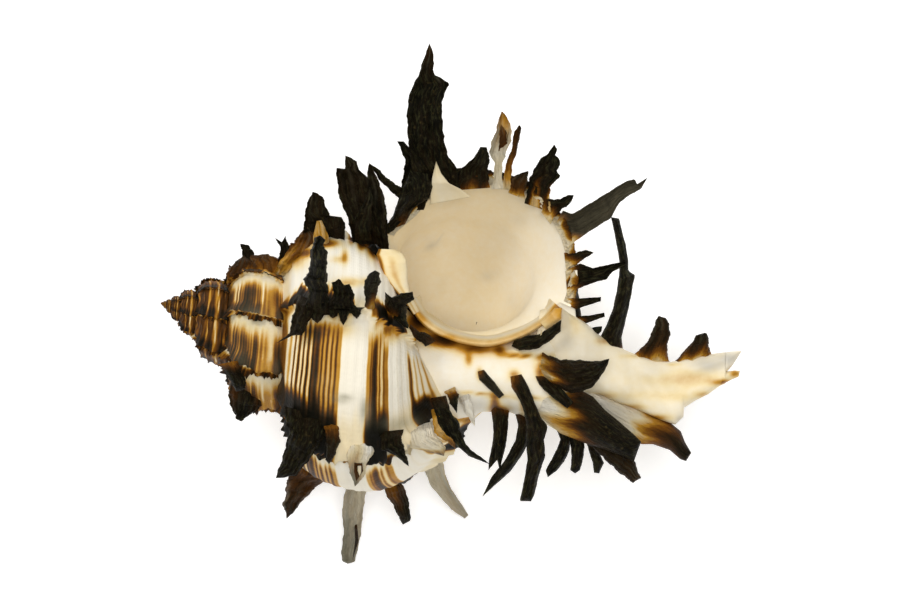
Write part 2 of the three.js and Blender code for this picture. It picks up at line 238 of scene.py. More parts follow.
def cosine(value, pitch):
    """A plain wave, 1 down to -1 and back once in a pitch."""
    return np.cos(2 * np.pi * value / pitch)


def blots(points, spots):
    """Soft oval spots, each (x, y, half width, half height, amount), added up over the upper side."""
    total = 0.0
    for x, y, wide, high, amount in spots:
        reach = ((points[..., 0] - x) / wide) ** 2 + ((points[..., 1] - y) / high) ** 2
        total = total + amount * np.exp(-reach)
    return total * (points[..., 2] > AXIS_HEIGHT - SPOTS_REACH_DOWN)


def ring_faces(rows, cols):
    """Quads of a grid that closes on itself across its columns."""
    row, col = np.meshgrid(np.arange(rows - 1), np.arange(cols), indexing="ij")
    here = row * cols + col
    beside = row * cols + (col + 1) % cols
    return np.stack([here, beside, beside + cols, here + cols], axis=-1).reshape(-1, 4)


def outward(points, faces):
    """The faces of one closed skin, turned over if its volume comes out negative."""
    a, b, c, d = (points[faces[:, corner]] for corner in range(4))
    volume = np.sum(a * np.cross(b, c)) + np.sum(a * np.cross(c, d))
    return faces[:, ::-1] if volume < 0 else faces


def put_piece(name, points, quads, tris, marks, materials, material_index=None):
    """Makes a mesh piece from points in millimetres, faces, and named marks on its points."""
    mesh = bpy.data.meshes.new(name)
    corners = np.concatenate([quads.ravel(), tris.ravel()]).astype(np.int32)
    starts = np.concatenate([np.arange(len(quads)) * 4, 4 * len(quads) + np.arange(len(tris)) * 3])
    mesh.vertices.add(len(points))
    mesh.vertices.foreach_set("co", (np.asarray(points) * MM).astype(np.float32).ravel())
    mesh.loops.add(len(corners))
    mesh.loops.foreach_set("vertex_index", corners)
    mesh.polygons.add(len(starts))
    mesh.polygons.foreach_set("loop_start", starts.astype(np.int32))
    mesh.update(calc_edges=True)
    mesh.polygons.foreach_set("use_smooth", np.ones(len(starts), dtype=bool))
    for material in materials:
        mesh.materials.append(material)
    if material_index is not None:
        mesh.polygons.foreach_set("material_index", material_index.astype(np.int32))
    for mark, values in marks.items():
        attribute = mesh.attributes.new(mark, "FLOAT", "POINT")
        attribute.data.foreach_set("value", np.asarray(values, dtype=np.float32).ravel())
    piece = bpy.data.objects.new(name, mesh)
    bpy.context.collection.objects.link(piece)
    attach(piece, "root")
    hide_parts("shell")


def put_tube(name, points, marks, materials, material_index=None):
    """A closed piece from a grid of rings, with a fan of triangles on each end."""
    rows, cols = points.shape[:2]
    ends = np.stack([points[0].mean(axis=0), points[-1].mean(axis=0)])
    every = np.concatenate([points.reshape(-1, 3), ends])
    ring = np.arange(cols)
    first = np.stack([np.roll(ring, -1), ring, np.full(cols, rows * cols)], axis=1)
    last = np.stack([ring, np.roll(ring, -1), np.full(cols, rows * cols + 1)], axis=1)
    last[:, :2] += (rows - 1) * cols
    quads, tris = ring_faces(rows, cols), np.concatenate([first, last])
    turned = outward(every, quads)
    if turned is not quads:
        quads, tris = turned, tris[:, ::-1]
    with_ends = {}
    for mark, values in marks.items():
        values = np.broadcast_to(values, (rows, cols))
        with_ends[mark] = np.concatenate([values.ravel(), values[0, :1], values[-1, :1]])
    put_piece(name, every, quads, tris, with_ends, materials, material_index)


def maths(operation, a, b, clamp=False):
    """The value of a + b, a * b or another sum as a socket; one of the two is a socket."""
    tree = (a if isinstance(a, bpy.types.NodeSocket) else b).id_data
    node = fill(tree.nodes.new("ShaderNodeMath"), i0=a, i1=b)
    node.operation = operation
    node.use_clamp = clamp
    return node.outputs[0]


def plus(a, b, clamp=False):
    """The socket of a + b, held between 0 and 1 by clamp."""
    return maths("ADD", a, b, clamp)


def minus(a, b, clamp=False):
    """The socket of a - b, held between 0 and 1 by clamp."""
    return maths("SUBTRACT", a, b, clamp)


def times(a, b, clamp=False):
    """The socket of a * b, held between 0 and 1 by clamp."""
    return maths("MULTIPLY", a, b, clamp)


def wave(value, pitch):
    """The socket of a sine over a value, of a pitch."""
    return maths("SINE", times(value, 2 * np.pi / pitch), 0.0)


def mark_value(tree, name):
    """A named mark of the mesh as a socket."""
    node = tree.nodes.new("ShaderNodeAttribute")
    node.attribute_name = name
    return node.outputs["Fac"]


def ramp(value, stops, colour=True):
    """A colour ramp over a value. Stops are (place, grey or colour)."""
    node = fill(value.id_data.nodes.new("ShaderNodeValToRGB"), Fac=value)
    elements = node.color_ramp.elements
    while len(elements) < len(stops):
        elements.new(0.5)
    for element, (place, tone) in zip(elements, stops):
        element.position = place
        element.color = (*tone, 1.0) if colour else (tone, tone, tone, 1.0)
    return node.outputs["Color"]


def mixed(share, first, second):
    """One colour turning into another as share goes from 0 to 1."""
    mix = share.id_data.nodes.new("ShaderNodeMix")
    mix.data_type = "RGBA"
    sockets = {socket.identifier: socket for socket in mix.inputs}
    share.id_data.links.new(share, sockets["Factor_Float"])
    for key, value in (("A_Color", first), ("B_Color", second)):
        if isinstance(value, bpy.types.NodeSocket):
            share.id_data.links.new(value, sockets[key])
        else:
            sockets[key].default_value = (*value, 1.0)
    return [socket for socket in mix.outputs if socket.identifier == "Result_Color"][0]


def speckle(tree, scale, detail=4.0, rough=0.55, vector=None):
    """Noise over Object coordinates, which are in metres, as a socket from 0 to 1."""
    if vector is None:
        vector = tree.nodes.new("ShaderNodeTexCoord").outputs["Object"]
    noise = tree.nodes.new("ShaderNodeTexNoise")
    return fill(noise, Vector=vector, Scale=scale, Detail=detail, Roughness=rough).outputs["Fac"]


def shell_material(name, colour, roughness, gloss, bump, bump_depth):
    """A material from functions that take the node tree: colour gives a colour socket, bump a height."""
    material = bpy.data.materials.new(name)
    material.use_nodes = True
    tree = material.node_tree
    relief = fill(tree.nodes.new("ShaderNodeBump"), Height=bump(tree), Distance=bump_depth, Strength=1.0)
    fill(tree.nodes["Principled BSDF"], Base_Color=colour(tree), Roughness=roughness,
         Specular_IOR_Level=gloss, Normal=relief.outputs["Normal"])
    return material


# From chalk through cream, amber and brown to black: the one run of colour that the shell wears.
SHELL_TONES = (
    (0.00, (0.87, 0.82, 0.70)),
    (0.12, (0.80, 0.64, 0.34)),
    (0.26, (0.54, 0.27, 0.030)),
    (0.40, (0.23, 0.085, 0.007)),
    (0.56, (0.075, 0.028, 0.005)),
    (0.76, (0.020, 0.011, 0.0035)),
    (1.00, (0.0040, 0.0035, 0.0014)),
)
WALL_DUST = (0.26, 0.24, 0.15)

# The shade of the spiral bands, and how dark the fine lines on them are, by their place along the axis
# at the lip, in millimetres.
BAND_FROM, BAND_TO = 29.0, 68.0
BAND_BASE = (
    (29.0, 0.06), (33.2, 0.03), (34.0, 0.06), (38.3, 0.12), (38.7, 0.44), (39.7, 0.50), (40.2, 0.22),
    (42.6, 0.18), (44.7, 0.24), (45.2, 0.02), (51.7, 0.01), (52.1, 0.24), (53.1, 0.24), (53.5, 0.56),
    (54.4, 0.52), (54.8, 0.14), (56.2, 0.10), (56.6, 0.30), (57.1, 0.28), (57.5, 0.01), (62.2, 0.01),
    (62.6, 0.34), (63.1, 0.34), (63.6, 0.03), (66.0, 0.03),
)
LINE_DEPTH = (
    (29.0, 0.05), (33.2, 0.20), (34.0, 0.46), (38.5, 0.50), (38.9, 0.14), (40.2, 0.14), (40.6, 0.30),
    (44.6, 0.26), (45.2, 0.0), (51.9, 0.0), (52.3, 0.2), (54.0, 0.1), (55.0, 0.26), (57.0, 0.2), (57.5, 0.0),
    (62.0, 0.02), (64.0, 0.16), (66.0, 0.2),
)
FINE_THREAD_PITCH = 0.56
GROWTH_LINES = 2.4


def by_band(share, bands):
    """The grey of a ramp whose stops are places in millimetres, over the share of the way along."""
    return ramp(share, [((place - BAND_FROM) / (BAND_TO - BAND_FROM), tone) for place, tone in bands], False)


# The grey clouds are real smudges and grain; on the pillar, the canal and the lip's wedge the grey mark is
# also a painted shade.
def greyed(colour, scale, low, amount, grey_colour):
    """A colour under grey clouds, which stand where noise is above low or the mark for grey is."""
    tree = colour.id_data
    clouds = times(minus(speckle(tree, scale, 3.0), low, clamp=True), amount)
    return mixed(plus(clouds, mark_value(tree, "grey"), clamp=True), colour, grey_colour)


def whorl_colour(tree):
    """Spiral bands and fine lines, under the dark that spreads from the ridges, with a few smudges."""
    place = plus(mark_value(tree, "band"), minus(speckle(tree, 90.0, 4.0), 0.5))
    share = maths("DIVIDE", minus(place, BAND_FROM), BAND_TO - BAND_FROM)
    line = maths("POWER", times(plus(wave(place, RIB_PITCH), 1.0), 0.5), 1.8)
    banded = plus(by_band(share, BAND_BASE), times(by_band(share, LINE_DEPTH), line))
    patchy = plus(0.70, times(speckle(tree, 170.0, 4.0), 0.90))
    banded = times(times(banded, patchy), mark_value(tree, "banding"))
    grain = plus(0.75, times(speckle(tree, 420.0, 6.0, 0.65), 0.5))
    dark = times(mark_value(tree, "shade"), grain)
    return greyed(ramp(plus(banded, dark, clamp=True), SHELL_TONES), 75.0, 0.62, 1.1, WALL_DUST)


def whorl_relief(tree):
    """Fine spiral threads, growth lines and grain."""
    threads = times(wave(mark_value(tree, "band"), FINE_THREAD_PITCH), 0.06)
    lines = times(maths("SINE", times(mark_value(tree, "turning"), GROWTH_LINES), 0.0), 0.05)
    return plus(plus(threads, lines), speckle(tree, 900.0, 6.0, 0.6))


whorl_material = shell_material("banded_wall", whorl_colour, 0.55, 0.10, whorl_relief, 0.00012)
PORCELAIN_DUST_AND_SHADE = (0.40, 0.385, 0.345)
# The mouth's glaze glows faintly though it is no lamp: a painted light that brightens the deep hollow.
GLAZE_PAINTED_GLOW, GLAZE_GLOW_STRENGTH = (1.0, 0.93, 0.80, 1.0), 0.04


def porcelain_colour(tree):
    """Nearly even cream with faint clouds, under the mark's own shade and its grey."""
    cloud = times(minus(speckle(tree, 70.0, 4.0), 0.42), 0.12)
    cloud = plus(cloud, times(speckle(tree, 1100.0, 3.0), 0.05))
    dapple = plus(0.55, times(speckle(tree, 330.0, 5.0, 0.6), 0.9))
    value = plus(minus(cloud, 0.015), times(mark_value(tree, "shade"), dapple), clamp=True)
    return greyed(ramp(value, SHELL_TONES), 110.0, 0.60, 0.9, PORCELAIN_DUST_AND_SHADE)


porcelain = shell_material("porcelain", porcelain_colour, 0.38, 0.22,
                           lambda tree: speckle(tree, 900.0, 4.0), 0.00005)
glaze = shell_material("mouth_glaze", porcelain_colour, 0.42, 0.12,
                       lambda tree: speckle(tree, 700.0, 3.0), 0.00002)
fill(glaze.node_tree.nodes["Principled BSDF"], Emission_Color=GLAZE_PAINTED_GLOW,
     Emission_Strength=GLAZE_GLOW_STRENGTH)


def past_ridge(turn):
    """How many degrees a turn is past the ridge nearest to it, and that ridge's own turn."""
    after = np.clip(np.searchsorted(RIDGES, turn), 1, len(RIDGES) - 1)
    nearer = np.where(turn - RIDGES[after - 1] < RIDGES[after] - turn, after - 1, after)
    return turn - RIDGES[nearer], RIDGES[nearer]


def since_ridge(turn):
    """The share of the way from the ridge before a turn to the ridge after it."""
    after = np.clip(np.searchsorted(RIDGES, turn), 1, len(RIDGES) - 1)
    return np.clip((turn - RIDGES[after - 1]) / (RIDGES[after] - RIDGES[after - 1]), 0, 1)


def plateau(rise, fall, value):
    """1 between two eased steps, each (from, to), and 0 outside them."""
    return smooth(*rise, value) * (1 - smooth(*fall, value))


def dark_bands(along):
    """1 on the bands that end in black on the ridges and 0 on the white ones between them."""
    dark = plateau((30, 33), (44.4, 45.6), along) + plateau((51.4, 52.6), (56.4, 57.6), along)
    return dark + plateau((62.0, 63.0), (65.4, 66.4), along)


def earliest(turn):
    """1 on the oldest whorls of the spire, which are knobbed and brown all over."""
    return smooth(-2.05, -2.4, turn / 360)


# Stains and grey smudges on the wall, each (x, y, half width, half height, amount).
WHORL_SPOTS = (
    (-16.3, 8.4, 0.5, 1.2, 0.26), (-17.2, 7.9, 1.2, 0.5, 0.16), (-24.0, 8.0, 1.6, 1.4, 0.28),
    (-15.6, 4.4, 2.0, 0.7, 0.22), (-12.8, 4.6, 0.8, 0.5, 0.18), (-17.6, -2.6, 2.6, 1.3, 0.22),
    (-21.4, -3.0, 1.8, 1.2, 0.22), (-9.6, -3.4, 2.2, 1.4, 0.22), (-9.0, 9.2, 0.9, 2.2, 0.34),
    (-13.8, 10.6, 0.6, 1.1, 0.75), (-12.0, 10.0, 0.8, 1.5, 0.85), (-15.4, 11.2, 0.4, 0.8, 0.6),
    (-10.2, 9.6, 0.6, 1.3, 0.7), (-19.4, 10.4, 2.0, 0.6, 0.55), (-22.4, 9.0, 1.4, 0.7, 0.45),
)
WHORL_SMUDGES = (
    (-16.4, -13.2, 1.3, 0.6, 0.75), (-13.2, -15.0, 0.8, 1.9, 0.75), (-13.4, 2.0, 1.3, 1.2, 0.30),
    (-7.6, -17.2, 2.4, 1.1, 0.55), (-32.4, -8.0, 1.4, 2.6, 0.10), (-30.2, -1.4, 2.4, 1.6, 0.35),
)


def wall_lift(along, turn, past):
    """How far the wall stands out from its plain outline: ridges, which rise slowly on their older side
    and break off, with scallops and ribs; then threads, slow swells, and the knobs of the oldest whorls."""
    rise = np.where(past <= 0, smooth(-RIDGE_FOOT, 0, past) ** 1.7, 1 - smooth(0, RIDGE_BREAK, past))
    scallop = 0.7 + 0.3 * cosine(along - SCALLOP_FROM, SCALLOP_PITCH)
    ribs = 0.10 * cosine(along, RIB_PITCH) + 0.12 * ripple(along * 2.4, turn / 30, 31)
    lift = RIDGE_HEIGHT * rise * (scallop + ribs)
    lift = lift + 0.10 * cosine(along, THREAD_PITCH) + 0.04 * cosine(along, RIB_PITCH)
    knobs = np.maximum(0, cosine(along, KNOB_PITCH)) * (0.5 + 0.5 * np.cos(np.radians(turn) * KNOBS_A_TURN))
    return lift + 0.10 * ripple(turn / 5.0, along * 0.35, 11) + earliest(turn) * (1.2 + 1.6 * knobs)


def wall_marks(along, turn, past, ridge, outer, points):
    """The wall's marks: its place for the bands, how strong they are, the dark that spreads from each
    ridge to its older side and a little past it, the streaks and browns of the spire, and the grey."""
    gone = since_ridge(turn)
    early = earliest(turn)
    on_spire = smooth(SPIRE_FROM, SPIRE_WHOLLY, turn)
    low = 1.0 * (ridge == BODY_RIDGES[3])
    row = 1.0 * (ridge == BODY_RIDGES[4])
    front = row * smooth(-7, -4, past)
    front_row = plateau((31.0, 32.4), (46.4, 47.6), along) + plateau((53.2, 54.2), (59.8, 61.0), along)
    dark = dark_bands(along) * (1 - front) + front * front_row
    spire_dark = 0.80 - 0.45 * plateau((43.6, 45.4), (50.0, 52.0), along)
    spire_dark = spire_dark * (0.84 + 0.16 * np.cos(along * 2.3))
    dark = dark * (1 - on_spire) + on_spire * smooth(29.5, 31, along) * spire_dark
    wander = 2.4 * ripple(along * 1.4, turn / 40, 5)
    before = smooth(-17 - 10 * low + 8 * row, -5 - 10 * low + 2 * row, past + wander) * (past <= 0.6)
    after = (1 - smooth(0.6, 7, past + 0.9 * wander)) * (past > 0.6)
    clear = (1 - smooth(6, 16, past + 0.8 * wander)) * (past > 0.6)
    depth = 0.95 - 0.22 * on_spire
    shade = dark * (depth * before + 0.26 * after) + (1 - dark) * (0.06 * before + 0.05 * after)
    streaks = 0.5 + 0.5 * ripple(along * 3.2, turn / 22, 55)
    streaked = 0.09 + smooth(0.12, 0.6, gone) * (0.10 + 0.46 * streaks)
    shade = np.maximum(shade, on_spire * (1 - early) * (0.45 + 0.55 * dark) * streaked)
    pale = np.clip(ripple(along * 1.5, turn / 60, 8) - 0.1, 0, 1)
    light_band = swell(0.9, 39.8, along) + swell(1.6, 45.8, along)
    shade = shade * (1 - 0.4 * early) + early * (0.60 - 0.32 * light_band - 0.12 * pale)
    shade = shade + early * 0.12 * ripple(along * 3, turn / 6, 18)
    glazed = plateau(*GLAZED_TURNS, turn)
    # Darker where the wall meets the whorl before it: a painted shade in the suture's crease, less where the
    # glaze fills it.
    shade = shade + (0.10 + 0.35 * (1 - glazed)) * (1 - smooth(30.8, 32.2, along)) * outer
    banding = (1 - 0.9 * before * dark) * (1 - 0.97 * clear) * (1 - 0.97 * glazed)
    banding = banding * (1 - on_spire) * (0.90 + 0.32 * gone)
    marks = {
        "band": along,
        "shade": np.maximum(0, shade + blots(points, WHORL_SPOTS)),
        "banding": banding + on_spire * 0.5 * smooth(0.25, 0.6, gone) * (1 - early),
        "turning": turn,
        "grey": blots(points, WHORL_SMUDGES) + 0.06 * on_spire * (1 - early),
    }
    return {mark: np.broadcast_to(value, points.shape[:2]) for mark, value in marks.items()}


def whorl_rings(turns, outline):
    """Points and marks of the wall at each turn. The outline is scaled by the growth and swollen by
    the lift; its base is full at the lip alone, the ridges break off along a torn edge, and the last
    stretch turns into the edge of the mouth."""
    along, out = outline[None, :, 0], outline[None, :, 1]
    turn = turns[:, None]
    past, ridge = past_ridge(turn)
    past = past + RIDGE_TEAR * (torn(along * 0.8 + ridge / 19.0, 21) - 0.45) * (ridge < 0)
    outer = smooth(6, 18, out) * smooth(29.0, 31.5, along)
    lift = outer * wall_lift(along, turn, past)
    drawn = BASE_DRAWN_IN * np.clip(-turn / 90, 0, 1)
    place = along - drawn * np.maximum(0, along - TUBE_MIDDLE[0])
    reach = np.hypot(place - TUBE_MIDDLE[0], out - TUBE_MIDDLE[1])
    place = TUBE_MIDDLE[0] + (place - TUBE_MIDDLE[0]) * (1 + lift / reach)
    out = np.maximum(TUBE_MIDDLE[1] + (out - TUBE_MIDDLE[1]) * (1 + lift / reach), LEAST_OUT)
    rim = smooth(-RIM_BLEND, 0, turn)
    rim_place, rim_out = mouth_ring(outline, RIM_WALL)
    size = growth(turn)
    place = place * (1 - rim) + rim_place * rim
    out = out * (1 - rim) + rim_out * rim
    points = from_coil(size * place, size * out, np.broadcast_to(turn, place.shape))
    return points, wall_marks(along, turn, past, ridge, outer, points)


def mouth_radius(angle, count):
    """How far the mouth's edge is from the tube's middle at angles in radians, read off a smooth
    closed line of count points."""
    line = closed_curve(MOUTH_EDGE, count) - np.array(TUBE_MIDDLE)
    line_angle = np.arctan2(line[:, 1], line[:, 0])
    order = np.argsort(line_angle)
    radius = np.hypot(line[:, 0], line[:, 1])
    return np.interp(angle, line_angle[order], radius[order], period=2 * np.pi)


def round_middle(outline):
    """The angles of an outline's points round the tube's middle, in radians."""
    return np.arctan2(outline[:, 1] - TUBE_MIDDLE[1], outline[:, 0] - TUBE_MIDDLE[0])


def mouth_ring(outline, wall):
    """The edge of the mouth, set out by a wall, at the angles of an outline's points."""
    angle = round_middle(outline)[None, :]
    radius = mouth_radius(angle, MOUTH_POINTS) + wall
    return TUBE_MIDDLE[0] + radius * np.cos(angle), TUBE_MIDDLE[1] + radius * np.sin(angle)


def inner_rings(turns, outline):
    """Points of the hollow at each turn: an oval that flares to the edge of the mouth."""
    angle = round_middle(outline)[None, :]
    turn = turns[:, None]
    flare = np.clip(1 + turn / MOUTH_FLARE, 0, 1) ** 1.6
    edge_along, edge_out = mouth_ring(outline, 0.0)
    along = TUBE_MIDDLE[0] + INSIDE_HALF[0] * np.cos(angle)
    out = TUBE_MIDDLE[1] + INSIDE_HALF[1] * np.sin(angle)
    along = growth(turn) * (along * (1 - flare) + edge_along * flare)
    out = growth(turn) * (out * (1 - flare) + edge_out * flare)
    return from_coil(along, out, np.broadcast_to(turn, along.shape))


def ridge_turns(first, last, coarse, fine):
    """Turns from first to last, in fine steps near each ridge and coarse ones between."""
    turns = [first]
    while turns[-1] < last:
        past, _ = past_ridge(turns[-1])
        turns.append(turns[-1] + (fine if -4 < past < 4 else coarse))
    return np.array(turns)


MOUTH_SMUDGES = (
    (-3.2, 10.2, 1.0, 0.8, 0.45), (6.0, 5.6, 1.3, 0.8, 0.30), (-1.6, 4.0, 1.2, 1.2, 0.14),
    (9.4, 1.6, 1.0, 1.6, 0.16), (4.0, 8.6, 3.2, 3.0, 0.10), (10.6, 14.0, 1.4, 1.0, 0.16),
    (-1.8, 11.6, 0.14, 0.14, 1.2), (4.2, 11.5, 0.14, 0.14, 1.2),
)
body_outline = closed_curve(WHORL_OUTLINE, BODY_COLS)
body_turns = np.concatenate([ridge_turns(BODY_FROM, -4.2, 2.4, 0.7), [-3.0, -1.6, -0.7, 0.0]])
body_points, body_marks = whorl_rings(body_turns, body_outline)
inside_turns = np.concatenate([np.linspace(0.0, -30.0, 21), np.arange(-34.0, HOLLOW_TO, -4.0)])
inside_points = inner_rings(inside_turns, body_outline)
rim_share = np.array([0.25, 0.5, 0.75])[:, None, None]
rim_points = body_points[-1][None] * (1 - rim_share) + inside_points[0][None] * rim_share
inside_points = np.concatenate([rim_points, inside_points])

flat_inside = inside_points.copy()
flat_inside[..., 2] = AXIS_HEIGHT
# The glaze inside the mouth is painted lighter towards its right side: a painted light on the wall of the
# hollow that faces the key lamp.
inside_marks = {
    "band": 0.0,
    "shade": 0.055 - 0.05 * smooth(4.0, 17.0, flat_inside[..., 0]),
    "banding": 0.0,
    "turning": 0.0,
    "grey": blots(flat_inside, MOUTH_SMUDGES),
}
marks = {
    mark: np.concatenate([body_marks[mark], np.broadcast_to(value, inside_points.shape[:2])])
    for mark, value in inside_marks.items()
}
rows, cols = len(body_points) + len(inside_points), BODY_COLS
glazed_from = (len(body_points) - 2) * cols
material_index = np.zeros((rows + 1) * cols, dtype=int)
material_index[glazed_from:(rows - 1) * cols] = 1
material_index[-cols:] = 1
put_tube("body_whorl", np.concatenate([body_points, inside_points]), marks, [whorl_material, glaze],
         material_index)

# The spire: the older turns of the same wall, back to the apex. They grew as the body whorl did, and
# are brown and streaked, with a ridge about every 50 degrees.
SPIRE_COLS = 110
spire_outline = closed_curve(WHORL_OUTLINE, SPIRE_COLS)
spire_turns = np.concatenate([np.arange(-3600.0, -1625.0, 9.0), ridge_turns(-1620.0, -545.0, 3.0, 0.9)])
put_tube("spire", *whorl_rings(spire_turns, spire_outline), [whorl_material])


# The lip's fronds: hollow spines of dark shell all round the outer edge of the mouth, each a folded
# leaf, ribbed along its length, with torn edges. They are the newest ones, grown out of the lip itself:
# broad and tall at its left, thin and curved beside the canal, and one worn pale.
LEAF_ROWS, LEAF_COLS = 54, 21
RIB_DEPTH = 0.16
SCALE_DEPTH, SCALE_PITCH = 0.36, 1.9
CRUMPLE_DEPTH = 0.32
BLACK = (0.72, 0.95, 1.0)
NOT_WORN = (0.0, 0.0, 0.0)
OLIVE = (0.074, 0.072, 0.028)
FLECK_BROWN = (0.085, 0.060, 0.020)
GREY_TONES = (
    (0.0, (0.72, 0.68, 0.56)),
    (0.25, (0.46, 0.42, 0.31)),
    (0.5, (0.20, 0.18, 0.115)),
    (1.0, (0.025, 0.022, 0.013)),
)


def seen(place, up):
    """Points at a height up that the camera sees at a place (x, y) in the plane of the axis."""
    reach = 1 + (AXIS_HEIGHT - up) / CAMERA_REACH
    flat = np.array(VIEW_CENTRE) + (place - np.array(VIEW_CENTRE)) * reach[..., None]
    return np.concatenate([flat, up[..., None]], axis=-1)


def along_path(path, share):
    """Points at shares of the length of a path of straight stretches."""
    path = np.array(path, dtype=float)
    run = lengths_along(path)
    return np.stack([np.interp(share * run[-1], run, path[:, axis]) for axis in (0, 1)], axis=-1)


def both_edges(left, right, rows):
    """Points at even shares of two edges, which is the left one seen from above, and how far apart
    they are, the way across and the length of the line between them."""
    share = np.linspace(0, 1, rows)
    left, right = along_path(left, share), along_path(right, share)
    way = (left[-1] + right[-1]) - (left[0] + right[0])
    across = np.sum(right - left, axis=0)
    if across[0] * way[1] - across[1] * way[0] < 0:
        left, right = right, left
    gap = np.linalg.norm(right - left, axis=1)
    across = (right - left) / np.maximum(gap, 0.05)[:, None]
    middle = (left + right) / 2
    return share, middle, gap / 2, across, lengths_along(middle)


def both_skins(marks):
    """Marks of a leaf's upper skin carried over to its lower skin, which runs back under it."""
    return {mark: np.concatenate([value, value[:, ::-1]], axis=1) for mark, value in marks.items()}


def leaf_surface(left, right, up, deep=1.6, wrap=70.0, tear=0.35, ribs=3.0, rough=1.0, thick=0.8, sunk=1.6,
                 seed=0):
    """A folded leaf between two edges as the camera sees them, at heights up from root to tip. Its
    section is an arc of wrap degrees each way; deep is how far its middle stands above its edges, or
    below them if negative. Gives rings of points, the upper skin and then the lower skin."""
    share, middle, half, across, length = both_edges(left, right, LEAF_ROWS)
    fold = np.linspace(-1, 1, LEAF_COLS)[None, :]
    tears = tear * smooth(0.02, 0.16, share) * np.minimum(1, half)
    cut_left, cut_right = tears * torn(length, seed + 1), tears * torn(length, seed + 2)
    middle = middle + across * (0.5 * (cut_left - cut_right))[:, None]
    half = np.maximum(half - 0.5 * (cut_left + cut_right), 0.03)[:, None]
    length = length[:, None] + 0 * fold
    angle = np.radians(wrap) * fold
    x = half * np.sin(angle) / np.sin(np.radians(wrap))
    bend = (np.cos(angle) - np.cos(np.radians(wrap))) / (1 - np.cos(np.radians(wrap)))
    rib = np.cos(fold * np.pi * ribs + 1.3 * ripple(length / 5, fold * 0, seed + 7))
    scale = (length + 0.7 * ripple(length / 3, fold * 2, seed + 3)) / SCALE_PITCH + 0.25 * fold**2
    crumple = CRUMPLE_DEPTH * ripple(length * 1.5, x * 2.2, seed + 50)
    texture = rough * (RIB_DEPTH * rib + SCALE_DEPTH * (scale % 1.0 - 0.5) + crumple)
    heights = np.interp(share, np.linspace(0, 1, len(up)), up)[:, None]
    heights = heights - sunk * (1 - smooth(0, 0.18, share))[:, None]
    skin = heights + deep * np.sqrt(half / half.max()) * (bend - 0.5) + texture * np.minimum(1, 0.55 * half)
    wall = thick * np.interp(share, [0, 0.8, 1], [1.2, 0.8, 0.3])[:, None] * (0.4 + 0.6 * bend)
    wall = wall * np.minimum(1, 0.35 + 0.5 * half)
    place = middle[:, None, :] + x[..., None] * across[:, None, :]
    points = np.concatenate([seen(place, skin + wall / 2), seen(place, skin - wall / 2)[:, ::-1]], axis=1)
    return points, both_skins({"share": share[:, None] + 0 * fold, "across": x, "length": length, "rib": rib})


def leaf_caps(rows, cols):
    """Quads that close both ends of a folded leaf, upper skin to lower skin."""
    left = np.arange(cols // 2 - 1)
    first = np.stack([left + 1, left, cols - 1 - left, cols - 2 - left], axis=1)
    last = (rows - 1) * cols + first[:, ::-1]
    return np.concatenate([first, last])


def fibre(tree, scale, stretch, detail=5.0):
    """Noise drawn out along a frond, from the marks for the way across it and its length."""
    vector = fill(tree.nodes.new("ShaderNodeCombineXYZ"), X=mark_value(tree, "across"),
                  Y=times(mark_value(tree, "length"), stretch), Z=mark_value(tree, "number"))
    return speckle(tree, scale, detail, 0.6, vector.outputs[0])


def frond_colour(tree):
    """The mark's shade, streaked along the frond, with olive fibres and brown flecks on the black, and
    grey where worn."""
    shade = mark_value(tree, "shade")
    streak = times(minus(fibre(tree, 2.0, 0.16), 0.5), 0.50)
    value = plus(shade, times(streak, plus(0.12, times(shade, 1.8), clamp=True)), clamp=True)
    thread = times(minus(fibre(tree, 4.0, 0.2), 0.50, clamp=True), 3.6, clamp=True)
    black = times(minus(shade, 0.6, clamp=True), 2.4, clamp=True)
    colour = mixed(times(times(thread, black), 0.85), ramp(value, SHELL_TONES), OLIVE)
    fleck = times(minus(speckle(tree, 1300.0, 3.0, 0.6), 0.60, clamp=True), 5.0, clamp=True)
    colour = mixed(times(fleck, black), colour, FLECK_BROWN)
    # Grey where worn; on the fronds' rib crests this grey is partly a painted highlight.
    return mixed(mark_value(tree, "worn"), colour, ramp(value, GREY_TONES))


def frond_relief(tree):
    """Fibres along the frond and a coarse grain."""
    return plus(fibre(tree, 3.2, 0.16, 6.0), times(speckle(tree, 800.0, 6.0, 0.65), 0.6))


frond_material = shell_material("frond", frond_colour, 0.55, 0.07, frond_relief, 0.0011)


def put_grids(name, grids):
    """One piece from several closed grids of rings, each with its marks."""
    all_points, all_faces, marks, count = [], [], {}, 0
    for points, at in grids:
        rows, cols = points.shape[:2]
        flat = points.reshape(-1, 3)
        faces = np.concatenate([ring_faces(rows, cols), leaf_caps(rows, cols)])
        all_points.append(flat)
        all_faces.append(count + outward(flat, faces))
        for mark, value in at.items():
            marks.setdefault(mark, []).append(np.broadcast_to(value, (rows, cols)).ravel())
        count += len(flat)
    marks = {mark: np.concatenate(values) for mark, values in marks.items()}
    no_tris = np.zeros((0, 3), dtype=int)
    put_piece(name, np.concatenate(all_points), np.concatenate(all_faces), no_tris, marks, [frond_material])


def frond(left, right, tip, up, tone=BLACK, worn=NOT_WORN, turn=0.22, flame=0.07, **shape):
    """A frond for put_fronds: its left and right edges from the root, its tip and the heights from root
    to tip. The tone is its shade at the root, at the turn (a share of the length) and at the tip; worn
    is the grey there; flame is how far the shades run into one another."""
    return left + (tip,), right + (tip,), up, (tone, worn, turn, flame), shape


